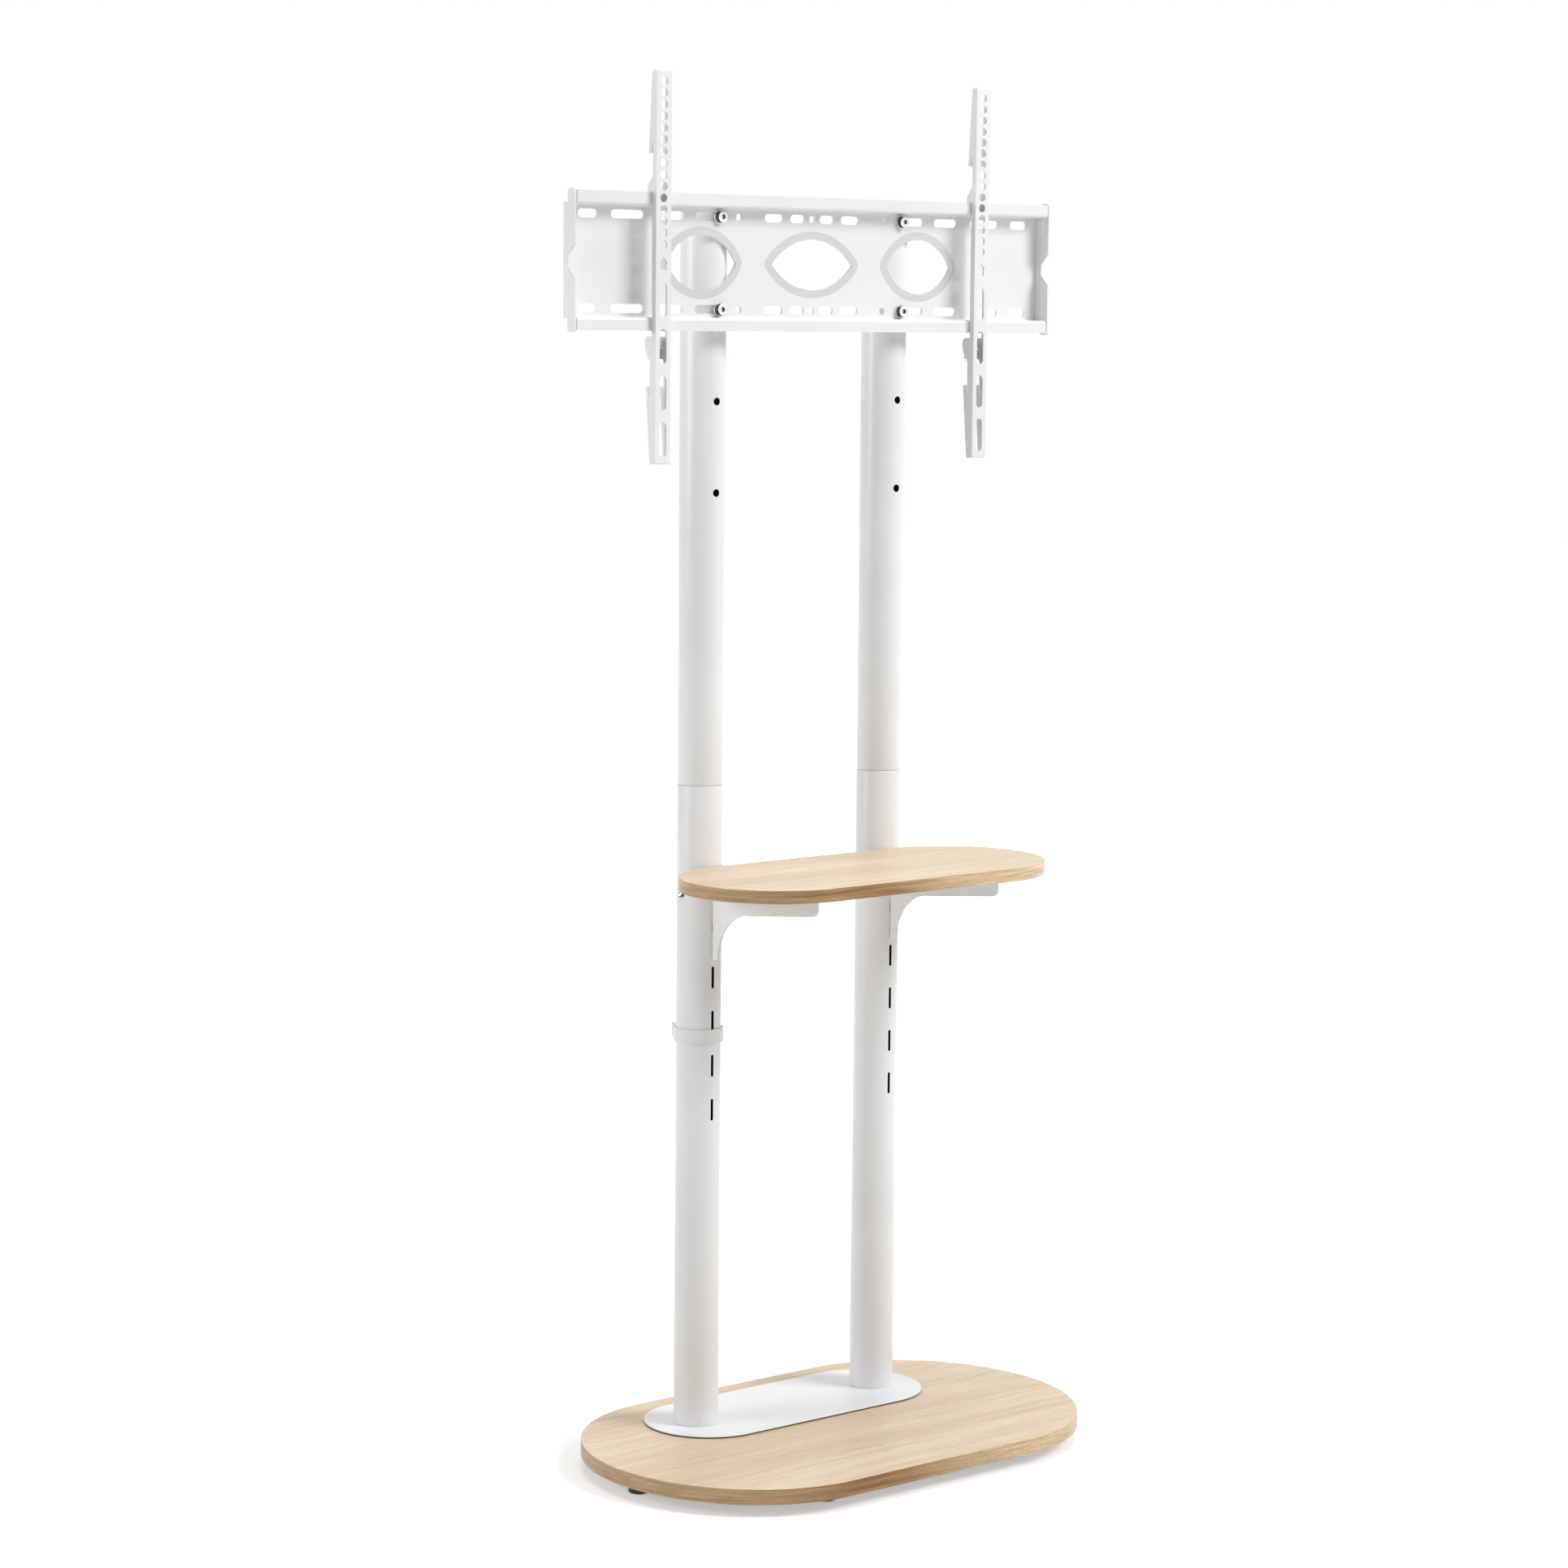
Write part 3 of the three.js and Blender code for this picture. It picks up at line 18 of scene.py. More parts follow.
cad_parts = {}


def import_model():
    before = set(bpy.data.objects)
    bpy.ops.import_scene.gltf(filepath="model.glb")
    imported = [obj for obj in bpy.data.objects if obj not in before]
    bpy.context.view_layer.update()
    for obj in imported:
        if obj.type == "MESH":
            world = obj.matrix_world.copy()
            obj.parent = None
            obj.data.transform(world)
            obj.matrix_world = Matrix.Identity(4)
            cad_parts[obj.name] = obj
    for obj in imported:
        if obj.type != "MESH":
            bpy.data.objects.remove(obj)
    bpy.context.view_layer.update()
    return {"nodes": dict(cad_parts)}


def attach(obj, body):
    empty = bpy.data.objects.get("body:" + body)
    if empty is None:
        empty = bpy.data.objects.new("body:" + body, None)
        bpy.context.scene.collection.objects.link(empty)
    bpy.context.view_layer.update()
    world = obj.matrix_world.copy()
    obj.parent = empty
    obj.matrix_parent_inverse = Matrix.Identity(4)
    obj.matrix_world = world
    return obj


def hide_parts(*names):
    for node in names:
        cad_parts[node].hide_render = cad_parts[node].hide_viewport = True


LOG = logging.getLogger("stand")

MM = 0.001
LEFT, RIGHT = -1, 1
SIDE_NAMES = {LEFT: "left", RIGHT: "right"}
Point = tuple[float, float]
Corner = tuple[float, float, float]
Piece = bpy.types.Object
Test = Callable[[Vector, Vector], bool]

# How far a tool stands out of the piece that it cuts, in millimetres.
OVERSHOOT = 1
# Vertices this near to each other are one, in millimetres: as modelled, and after cuts.
MERGE, MERGE_AFTER_CUTS = 0.002, 0.01
# Two places this near to each other are on one level, in millimetres.
LEVEL_TOLERANCE = 0.01
# Faces that differ by less than this, in degrees, become one.
FLAT_ANGLE = 0.4
# Edges past this angle stay sharp, in degrees: on sheets and boards, and on spun pieces.
SHEET_ANGLE, SPUN_ANGLE = 30, 35
# Weight of large faces over small ones in shading, where 50 is even.
FACE_WEIGHT = 60
# A direction with more of an axis than the first share runs along it, and one with less than
# the last runs across it. A normal with more than the middle share faces that way.
ALONG, FACING, ACROSS = 0.9, 0.5, 0.1
# Steps round a drilled hole, a larger round part, a small corner and a bend.
HOLE_STEPS, ROUND_STEPS, CORNER_STEPS, BEND_STEPS = 32, 48, 5, 6


# Workshop: planes, outlines and the operators that shape a piece


class Plane(Enum):
    """Which way an outline faces: the axes of its across, up and raising directions."""

    LEVEL = ((1, 0, 0), (0, 1, 0), (0, 0, 1))
    FRONT = ((1, 0, 0), (0, 0, 1), (0, -1, 0))
    SIDE = ((0, 1, 0), (0, 0, 1), (1, 0, 0))

    def point(self, across: float, up: float, out: float) -> Vector:
        """Gives a place in space.

        Args:
            across: Distance along the first axis.
            up: Distance along the second axis.
            out: Distance along the raising axis.

        Returns:
            The place, in metres.
        """
        first, second, third = (Vector(axis) for axis in self.value)
        return (first * across + second * up + third * out) * MM

    def turn(self) -> tuple[float, float, float]:
        """Gives the Euler angles that lay a bar from +Z along the raising axis."""
        quarter = math.pi / 2
        return {"LEVEL": (0, 0, 0), "FRONT": (quarter, 0, 0), "SIDE": (0, quarter, 0)}[self.name]


class Element(Enum):
    """What is picked in edit mode."""

    FACE = "FACE"
    EDGE = "EDGE"
    VERTEX = "VERT"


class Cut(Enum):
    """How one solid changes another."""

    AWAY = "DIFFERENCE"
    TOGETHER = "UNION"


def select_only(*pieces: Piece) -> None:
    """Selects these pieces and nothing else.

    Args:
        *pieces: The pieces. The first one becomes the active one.
    """
    bpy.ops.object.select_all(action="DESELECT")
    for piece in pieces:
        piece.select_set(True)
    bpy.context.view_layer.objects.active = pieces[0]


def start_edit(piece: Piece, element: Element = Element.FACE) -> None:
    """Opens a piece in edit mode with everything on it selected.

    Args:
        piece: The piece to open.
        element: The kind of element that picking works on.
    """
    select_only(piece)
    bpy.ops.object.mode_set(mode="EDIT")
    bpy.ops.mesh.select_mode(type=element.value)
    bpy.ops.mesh.select_all(action="SELECT")


def end_edit() -> None:
    """Leaves edit mode."""
    bpy.ops.object.mode_set(mode="OBJECT")


def discard(*pieces: Piece) -> None:
    """Removes patterns and tools that are used up."""
    for piece in pieces:
        bpy.data.objects.remove(piece, do_unlink=True)


def pick(piece: Piece, element: Element, test: Test) -> None:
    """Selects the faces or the edges of an open piece that pass a test.

    Args:
        piece: The piece that is open in edit mode.
        element: Faces or edges.
        test: Takes a middle in millimetres, with a face's normal or an edge's direction.
    """
    bpy.ops.mesh.select_mode(type=element.value)
    bpy.ops.mesh.select_all(action="DESELECT")
    mesh = bmesh.from_edit_mesh(piece.data)
    if element is Element.FACE:
        found = [(face, face.calc_center_median(), face.normal) for face in mesh.faces]
    else:
        found = []
        for edge in mesh.edges:
            start, end = (vertex.co for vertex in edge.verts)
            found.append((edge, (start + end) / 2, (end - start).normalized()))
    for item, middle, direction in found:
        item.select_set(test(middle / MM, direction))
    mesh.select_flush_mode()
    bmesh.update_edit_mesh(piece.data)


def settle(piece: Piece) -> Piece:
    """Puts a piece's place and turn into its mesh, so that its object sits at the origin.

    Args:
        piece: The piece.

    Returns:
        The piece.
    """
    select_only(piece)
    bpy.ops.object.transform_apply(location=True, rotation=True, scale=True)
    return piece


def face_outwards(piece: Piece) -> Piece:
    """Merges a piece's doubles and points all of its faces outwards.

    Args:
        piece: The piece.

    Returns:
        The piece.
    """
    start_edit(piece)
    bpy.ops.mesh.remove_doubles(threshold=MERGE * MM)
    bpy.ops.mesh.select_all(action="SELECT")
    bpy.ops.mesh.normals_make_consistent(inside=False)
    end_edit()
    return piece


def draw_line(name: str, line: Sequence[Point], plane: Plane, level: float) -> Piece:
    """Draws an open line, one vertex extruded from the last.

    Args:
        name: The piece's name.
        line: The points of the line.
        plane: The plane it is drawn in.
        level: The plane's place along its raising axis.

    Returns:
        The piece, left in edit mode.
    """
    bpy.ops.object.select_all(action="DESELECT")
    bpy.ops.mesh.primitive_plane_add(size=MM)
    piece = bpy.context.object
    piece.name = name
    start_edit(piece, Element.VERTEX)
    bpy.ops.mesh.merge(type="CENTER")
    places = [plane.point(across, up, level) for across, up in line]
    bpy.ops.transform.translate(value=places[0])
    for before, after in zip(places, places[1:]):
        bpy.ops.mesh.extrude_region_move(TRANSFORM_OT_translate={"value": after - before})
    return piece


def join_ends(piece: Piece) -> None:
    """Joins the first and the last vertex of a line.

    Args:
        piece: The line, open in edit mode.
    """
    mesh = bmesh.from_edit_mesh(piece.data)
    mesh.verts.ensure_lookup_table()
    ends = (0, len(mesh.verts) - 1)
    for vertex in mesh.verts:
        vertex.select_set(vertex.index in ends)
    bmesh.update_edit_mesh(piece.data)
    bpy.ops.mesh.edge_face_add()


def draw_face(name: str, outline: Sequence[Point], plane: Plane, level: float) -> Piece:
    """Draws a closed outline and fills it with one face.

    Args:
        name: The piece's name.
        outline: The corners in order, in millimetres, without the first one repeated.
        plane: The plane it is drawn in.
        level: The plane's place along its raising axis.

    Returns:
        The piece, left in edit mode with its face selected.
    """
    piece = draw_line(name, outline, plane, level)
    join_ends(piece)
    bpy.ops.mesh.select_all(action="SELECT")
    bpy.ops.mesh.edge_face_add()
    return piece


def draw_out(plane: Plane, depth: float) -> None:
    """Extrudes what is selected along a plane's raising axis, by a depth in millimetres."""
    value = plane.point(0, 0, depth)
    bpy.ops.mesh.extrude_region_move(TRANSFORM_OT_translate={"value": value})


def slab(
    name: str, outline: Sequence[Point], plane: Plane, level: float, depth: float
) -> Piece:
    """Raises a filled outline into a solid.

    Args:
        name: The piece's name.
        outline: The corners in order.
        plane: The plane it is drawn in.
        level: Where it starts along the raising axis.
        depth: How far it is raised.

    Returns:
        The solid.
    """
    piece = draw_face(name, outline, plane, level)
    draw_out(plane, depth)
    end_edit()
    return face_outwards(piece)


def sheet(
    name: str, line: Sequence[Point], plane: Plane, level: float, depth: float, steel: float
) -> Piece:
    """Draws a bent line out into a sheet and gives it a thickness, half to each side.

    Args:
        name: The piece's name.
        line: The sheet's middle line.
        plane: The plane the line is drawn in.
        level: Where the sheet starts along the raising axis.
        depth: How far it is drawn out.
        steel: Its thickness.

    Returns:
        The sheet.
    """
    piece = draw_line(name, line, plane, level)
    bpy.ops.mesh.select_mode(type=Element.EDGE.value)
    bpy.ops.mesh.select_all(action="SELECT")
    draw_out(plane, depth)
    end_edit()
    apply_modifier(piece, "SOLIDIFY", thickness=steel * MM, offset=0, use_even_offset=True)
    return face_outwards(piece)


def rod(
    name: str, plane: Plane, place: Corner, radius: float, depth: float, steps: int
) -> Piece:
    """Adds a round bar along a plane's raising axis.

    Args:
        name: The piece's name.
        plane: The plane its end lies in.
        place: Across, up and start along the raising axis.
        radius: Its radius.
        depth: Its length.
        steps: Number of its sides.

    Returns:
        The bar, closed at both ends.
    """
    across, up, start = place
    bpy.ops.object.select_all(action="DESELECT")
    bpy.ops.mesh.primitive_cylinder_add(
        vertices=steps,
        radius=radius * MM,
        depth=depth * MM,
        location=plane.point(across, up, start + depth / 2),
        rotation=plane.turn(),
    )
    piece = bpy.context.object
    piece.name = name
    return settle(piece)


def block(name: str, low: Corner, high: Corner) -> Piece:
    """Adds a rectangular block between two corners.

    Args:
        name: The piece's name.
        low: The lowest corner.
        high: The highest corner.

    Returns:
        The block.
    """
    near, far = Vector(low) * MM, Vector(high) * MM
    bpy.ops.object.select_all(action="DESELECT")
    bpy.ops.mesh.primitive_cube_add(size=1, location=(near + far) / 2, scale=far - near)
    piece = bpy.context.object
    piece.name = name
    return settle(piece)


def spun(name: str, profile: Sequence[Point], steps: int) -> Piece:
    """Spins a profile of radius and height pairs round Z.

    Args:
        name: The piece's name.
        profile: Radius and height pairs, in millimetres, that start and end on the axis or
            form a closed ring.
        steps: Number of steps round.

    Returns:
        The closed body, round the origin.
    """
    piece = draw_line(name, profile, Plane.SIDE, 0)
    if profile[0][0] > 0:
        join_ends(piece)
    bpy.ops.mesh.select_mode(type="EDGE")
    bpy.ops.mesh.select_all(action="SELECT")
    bpy.ops.mesh.spin(steps=steps, angle=2 * math.pi, center=(0, 0, 0), axis=(0, 0, 1))
    end_edit()
    return face_outwards(piece)


def apply_modifier(piece: Piece, kind: str, **settings: object) -> None:
    """Adds a modifier with its settings and applies it.

    Args:
        piece: The piece it works on.
        kind: The modifier's type.
        **settings: Its settings by name.
    """
    select_only(piece)
    bpy.ops.object.modifier_add(type=kind)
    modifier = piece.modifiers[-1]
    for key, value in settings.items():
        setattr(modifier, key, value)
    bpy.ops.object.modifier_apply(modifier=modifier.name)


def carve(piece: Piece, tools: Iterable[Piece], cut: Cut = Cut.AWAY) -> Piece:
    """Cuts tools out of a piece, or makes them one with it.

    Args:
        piece: The piece that is kept.
        tools: The solids that are used up. Where they are cut away, they may be many.
        cut: What is done with them.

    Returns:
        The piece.
    """
    solids = list(tools)
    if cut is Cut.AWAY and len(solids) > 1:
        select_only(*solids)
        bpy.ops.object.join()
        solids = [solids[0]]
    for tool in solids:
        apply_modifier(piece, "BOOLEAN", operation=cut.value, solver="EXACT", object=tool)
        discard(tool)
    return piece


def bevel_edges(piece: Piece, width: float, steps: int, test: Test) -> None:
    """Rounds or slants the edges of a piece that pass a test.

    Args:
        piece: The piece.
        width: Width of the bevel.
        steps: Faces across it.
        test: Takes an edge's middle in millimetres and its direction.
    """
    start_edit(piece, Element.EDGE)
    pick(piece, Element.EDGE, test)
    bpy.ops.mesh.bevel(offset=width * MM, segments=steps, affect="EDGES")
    end_edit()


def round_rims(piece: Piece, width: float, above: bool, steps: int = 3) -> None:
    """Rounds the upper or the lower rim of a level slab.

    Args:
        piece: The slab.
        width: Width of the rounding.
        above: True for the upper rim.
        steps: Faces across the rounding.
    """
    levels = [vertex.co.z / MM for vertex in piece.data.vertices]
    level = max(levels) if above else min(levels)

    def on_rim(middle: Vector, direction: Vector) -> bool:
        """Tells whether an edge lies in the chosen face."""
        return abs(middle.z - level) < LEVEL_TOLERANCE and abs(direction.z) < ACROSS

    bevel_edges(piece, width, steps, on_rim)


def ease_edges(piece: Piece, width: float, steps: int = 2, angle: float = 40) -> Piece:
    """Rounds the sharp edges of a piece a little and shades it as one surface.

    Args:
        piece: The piece to finish.
        width: Width of the rounding.
        steps: Faces across the rounding.
        angle: The least angle, in degrees, of an edge that is rounded.

    Returns:
        The piece.
    """
    start_edit(piece)
    bpy.ops.mesh.remove_doubles(threshold=MERGE_AFTER_CUTS * MM)
    bpy.ops.mesh.select_all(action="SELECT")
    bpy.ops.mesh.dissolve_limited(angle_limit=math.radians(FLAT_ANGLE))
    end_edit()
    apply_modifier(
        piece,
        "BEVEL",
        width=width * MM,
        segments=steps,
        limit_method="ANGLE",
        angle_limit=math.radians(angle),
    )
    return smooth(piece, weighted=True)


def smooth(piece: Piece, angle: float = SHEET_ANGLE, weighted: bool = False) -> Piece:
    """Shades a piece smooth up to an angle.

    Args:
        piece: The piece to shade.
        angle: The angle, in degrees, past which an edge stays sharp.
        weighted: Whether large faces decide how the small ones beside them are shaded.

    Returns:
        The piece.
    """
    select_only(piece)
    bpy.ops.object.shade_smooth_by_angle(angle=math.radians(angle))
    if weighted:
        apply_modifier(piece, "WEIGHTED_NORMAL", keep_sharp=True, weight=FACE_WEIGHT)
    return piece


def copy_of(piece: Piece, name: str, move: Corner = (0, 0, 0), mirrored: bool = False) -> Piece:
    """Copies a piece, mesh and all.

    Args:
        piece: The piece to copy.
        name: The copy's name.
        move: How far the copy is moved.
        mirrored: Whether the copy is mirrored left to right about the middle of the stand.

    Returns:
        The copy.
    """
    select_only(piece)
    bpy.ops.object.duplicate(linked=False)
    copy = bpy.context.object
    copy.name = name
    if mirrored:
        bpy.ops.transform.resize(value=(-1, 1, 1), center_override=(0, 0, 0))
        settle(copy)
        face_outwards(copy)
    copy.location = Vector(move) * MM
    return settle(copy)


def row_of(pattern: Piece, count: int, pitch: float) -> list[Piece]:
    """Repeats a piece upwards in a row.

    Args:
        pattern: The lowest piece of the row.
        count: How many there are in all.
        pitch: From each one to the next.

    Returns:
        The pattern and its copies.
    """
    moves = [(0, 0, index * pitch) for index in range(1, count)]
    return [pattern, *(copy_of(pattern, pattern.name, move) for move in moves)]


def stood(piece: Piece, plane: Plane, place: Corner) -> Piece:
    """Lays a piece that was made round +Z along a plane's raising axis, and puts it in place.

    Args:
        piece: The piece, made round the origin.
        plane: The plane whose raising axis it follows.
        place: Its place in the stand.

    Returns:
        The piece.
    """
    piece.rotation_euler = plane.turn()
    piece.location = Vector(place) * MM
    return settle(piece)


# Outlines


def arc(centre: Point, radius: Point, start: float, end: float, steps: int) -> list[Point]:
    """Gives points on an elliptical arc.

    Args:
        centre: The arc's centre.
        radius: Its half widths across and up.
        start: Its first angle, in degrees.
        end: Its last angle, in degrees.
        steps: Number of steps from the first point to the last.

    Returns:
        The points, both ends among them.
    """
    angles = (math.radians(start + (end - start) * i / steps) for i in range(steps + 1))
    return [
        (centre[0] + radius[0] * math.cos(angle), centre[1] + radius[1] * math.sin(angle))
        for angle in angles
    ]


def oval(middle: Point, width: float, depth: float, end: float, steps: int) -> list[Point]:
    """Gives an outline with straight long sides and half-elliptical ends.

    Args:
        middle: The middle of the outline.
        width: Its whole width.
        depth: Its whole depth.
        end: Length of each curved end.
        steps: Steps round each end.

    Returns:
        The outline.
    """
    straight = width / 2 - end
    right = arc((middle[0] + straight, middle[1]), (end, depth / 2), -90, 90, steps)
    left = arc((middle[0] - straight, middle[1]), (end, depth / 2), 90, 270, steps)
    return right + left


def slot_outline(middle: Point, width: float, height: float, steps: int = 10) -> list[Point]:
    """Gives a slot with round ends, whose longer side gives its direction.

    Args:
        middle: The middle of the slot.
        width: Its size across.
        height: Its size up.
        steps: Steps round each end.

    Returns:
        The outline.
    """
    if width >= height:
        return oval(middle, width, height, height / 2, steps)
    lying = oval((0, 0), height, width, width / 2, steps)
    return [(middle[0] - up, middle[1] + across) for across, up in lying]


def eye_outline(
    middle: float, half_width: float, half_height: float, spread: float = 0, steps: int = 20
) -> list[Point]:
    """Gives a pointed oval, or the line at a distance outside it, with round tips.

    Args:
        middle: The oval's place across.
        half_width: Half its width, tip to tip.
        half_height: Half its height.
        spread: Distance of the line outside the oval.
        steps: Steps along each long arc.

    Returns:
        The outline.
    """
    radius = (half_width**2 + half_height**2) / (2 * half_height)
    sink = radius - half_height
    sweep = math.degrees(math.asin(half_width / radius))
    reach = (radius + spread, radius + spread)
    tip = (spread, spread)
    lower = arc((middle, sink), reach, -90 - sweep, -90 + sweep, steps)
    upper = arc((middle, -sink), reach, 90 - sweep, 90 + sweep, steps)
    if not spread:
        return lower[:-1] + upper[:-1]
    right = arc((middle + half_width, 0), tip, -90 + sweep, 90 - sweep, steps // 3)
    left = arc((middle - half_width, 0), tip, 90 + sweep, 270 - sweep, steps // 3)
    return lower + right[1:-1] + upper + left[1:-1]


def rounded(corners: Sequence[Corner], steps: int) -> list[Point]:
    """Gives a polygon with its corners rounded.

    Args:
        corners: Across, up and rounding of each corner. A rounding of 0 keeps it sharp.
        steps: Steps round each rounded corner.

    Returns:
        The outline.
    """
    outline: list[Point] = []
    for index, (across, up, rounding) in enumerate(corners):
        corner = Vector((across, up))
        if not rounding:
            outline.append((across, up))
            continue
        before = Vector(corners[index - 1][:2])
        after = Vector(corners[(index + 1) % len(corners)][:2])
        back = corner + (before - corner).normalized() * rounding
        ahead = corner + (after - corner).normalized() * rounding
        for step in range(steps + 1):
            share = step / steps
            first, last = back.lerp(corner, share), corner.lerp(ahead, share)
            outline.append(tuple(first.lerp(last, share)))
    return outline


def bent_line(corners: Sequence[Point], bend: float, steps: int) -> list[Point]:
    """Gives the middle line of a bent sheet.

    Args:
        corners: The corners of the line, its two ends among them.
        bend: Radius of each bend.
        steps: Steps round each bend.

    Returns:
        The points of the line.
    """
    line = [corners[0]]
    for before, corner, after in zip(corners, corners[1:], corners[2:]):
        here = Vector(corner)
        back = (Vector(before) - here).normalized()
        ahead = (Vector(after) - here).normalized()
        half = back.angle(ahead) / 2
        centre = here + (back + ahead).normalized() * bend / math.sin(half)
        start = here + back * bend / math.tan(half) - centre
        end = here + ahead * bend / math.tan(half) - centre
        turn = math.atan2(start.x * end.y - start.y * end.x, start.dot(end))
        for step in range(steps + 1):
            turned = Matrix.Rotation(turn * step / steps, 2) @ start
            line.append(tuple(centre + turned))
    line.append(corners[-1])
    return line


# Finishes

# Sockets of a colour mix node, by number, because their names repeat.
MIX_UNDER = 6
MIX_OVER = 7
MIX_RESULT = 2
WHITE = (1, 1, 1, 1)
# Most of a noise lies between these values.
NOISE_REACH = (0.3, 0.7)


def linear(colour: str) -> tuple[float, float, float, float]:
    """Turns an sRGB colour into a linear one.

    Args:
        colour: Six hex digits, such as f2f2f1.

    Returns:
        Red, green, blue and alpha.
    """
    shares = [int(colour[i : i + 2], 16) / 255 for i in (0, 2, 4)]
    red, green, blue = (
        share / 12.92 if share <= 0.04045 else ((share + 0.055) / 1.055) ** 2.4
        for share in shares
    )
    return red, green, blue, 1.0


def per_metre(size: float) -> float:
    """Gives the texture scale at which a pattern repeats about once in a size in millimetres."""
    return 1 / (size * MM)


Feed = bpy.types.Node | bpy.types.NodeSocket | float | Sequence[float]


def feed(tree: bpy.types.NodeTree, node: bpy.types.Node, feeds: dict[str | int, Feed]) -> None:
    """Feeds the inputs of a node.

    Args:
        tree: The node tree.
        node: The node.
        feeds: By an input's name or number, a value, an output socket, or a node, which stands
            for its first output.
    """
    for key, value in feeds.items():
        source = value.outputs[0] if isinstance(value, bpy.types.Node) else value
        if isinstance(source, bpy.types.NodeSocket):
            tree.links.new(source, node.inputs[key])
        else:
            node.inputs[key].default_value = source


def add_node(
    tree: bpy.types.NodeTree,
    kind: str,
    feeds: dict[str | int, Feed] | None = None,
    stops: Sequence[tuple[float, str]] = (),
    **settings: object,
) -> bpy.types.Node:
    """Adds a node with its settings and links.

    Args:
        tree: The node tree.
        kind: The node's type.
        feeds: What feeds its inputs.
        stops: Place and sRGB hex colour of each stop, where it is a ramp.
        **settings: The node's own settings.

    Returns:
        The node.
    """
    made = tree.nodes.new(kind)
    for key, value in settings.items():
        setattr(made, key, value)
    for index, (place, colour) in enumerate(stops):
        elements = made.color_ramp.elements
        element = elements[index] if index < len(elements) else elements.new(1.0)
        element.position = place
        element.color = linear(colour)
    feed(tree, made, feeds or {})
    return made


def grain(
    tree: bpy.types.NodeTree, sizes: Corner, detail: float, distortion: float = 0
) -> bpy.types.Node:
    """Lays a noise on Object coordinates whose grains have given sizes.

    Args:
        tree: The node tree.
        sizes: Length of a grain along X, Y and Z.
        detail: Octaves of finer noise.
        distortion: How far it is warped.

    Returns:
        The noise node.
    """
    place = add_node(tree, "ShaderNodeTexCoord").outputs["Object"]
    scale = tuple(per_metre(size) for size in sizes)
    mapped = add_node(tree, "ShaderNodeMapping", {"Vector": place, "Scale": scale})
    feeds = {"Vector": mapped, "Scale": 1.0, "Detail": detail, "Distortion": distortion}
    return add_node(tree, "ShaderNodeTexNoise", feeds)


def from_to(source: Point, target: Point) -> dict[str, float]:
    """Gives the values that turn one range of numbers into another."""
    names = ("From Min", "From Max", "To Min", "To Max")
    return dict(zip(names, (*source, *target)))


def new_material(name: str) -> tuple[bpy.types.Material, bpy.types.NodeTree, bpy.types.Node]:
    """Makes an empty material with its surface shader.

    Args:
        name: The material's name.

    Returns:
        The material, its node tree and its Principled shader.
    """
    material = bpy.data.materials.new(name)
    material.use_nodes = True
    tree = material.node_tree
    return material, tree, tree.nodes["Principled BSDF"]


Stops = tuple[tuple[float, str], ...]
Settings = tuple[tuple[str, float], ...]


@dataclass(frozen=True, kw_only=True)
class Surface:
    """What every finish has: its name, how rough it is, its relief and the shader's settings."""

    name: str
    roughness: Point
    relief_strength: float
    relief_depth: float
    settings: Settings

    def shade(
        self,
        tree: bpy.types.NodeTree,
        shader: bpy.types.Node,
        colour: Feed,
        fine: bpy.types.Node,
        height: bpy.types.Node,
    ) -> None:
        """Feeds the surface shader.

        Args:
            tree: The node tree.
            shader: The Principled shader.
            colour: What gives the base colour.
            fine: The noise that varies the roughness.
            height: What gives the relief.
        """
        rough = {"Value": fine, **from_to(NOISE_REACH, self.roughness)}
        relief = {
            "Height": height,
            "Strength": self.relief_strength,
            "Distance": self.relief_depth * MM,
        }
        feeds = {
            "Base Color": colour,
            "Roughness": add_node(tree, "ShaderNodeMapRange", rough),
            "Normal": add_node(tree, "ShaderNodeBump", relief),
            **dict(self.settings),
        }
        feed(tree, shader, feeds)


@dataclass(frozen=True, kw_only=True)
class Mottled(Surface):
    """A surface whose tone drifts in slow clouds, over a fine relief.

    The clouds keep a large face from reading as flat, and the relief breaks up its gloss.
    """

    low: str
    high: str
    cloud_size: float
    cloud_detail: float = 2
    cloud_reach: Point = NOISE_REACH
    fine_size: float = 0.8
    fine_detail: float = 2

    def material(self) -> bpy.types.Material:
        """Builds the material.

        Returns:
            The material.
        """
        material, tree, shader = new_material(self.name)
        cloud = grain(tree, (self.cloud_size,) * 3, self.cloud_detail)
        fine = grain(tree, (self.fine_size,) * 3, self.fine_detail)
        stops = list(zip(self.cloud_reach, (self.low, self.high)))
        colour = add_node(tree, "ShaderNodeValToRGB", {"Fac": cloud}, stops)
        self.shade(tree, shader, colour, fine, fine)
        return material


@dataclass(frozen=True, kw_only=True)
class PowderCoat(Mottled):
    """Polyester powder coat, baked on steel.

    It gives a satin skin with a faint orange peel, softer than a lacquer's gloss.
    """

    roughness: Point = (0.28, 0.36)
    relief_strength: float = 0.35
    relief_depth: float = 0.02
    settings: Settings = (("IOR", 1.5),)
    cloud_size: float = 120
    cloud_reach: Point = (0.35, 0.65)
    fine_size: float = 2.2


@dataclass(frozen=True, kw_only=True)
class RimShadeCoat(PowderCoat):
    """Powder coat on a pressed band, painted a shade greyer than the plate round it.

    The grey is painted shade, for the shade that the band's slope takes, and sets the rim off from
    the plate round it.
    """

    name: str = "rim_painted_shade_coat"
    low: str = "d3d4d4"
    high: str = "d8d9d9"


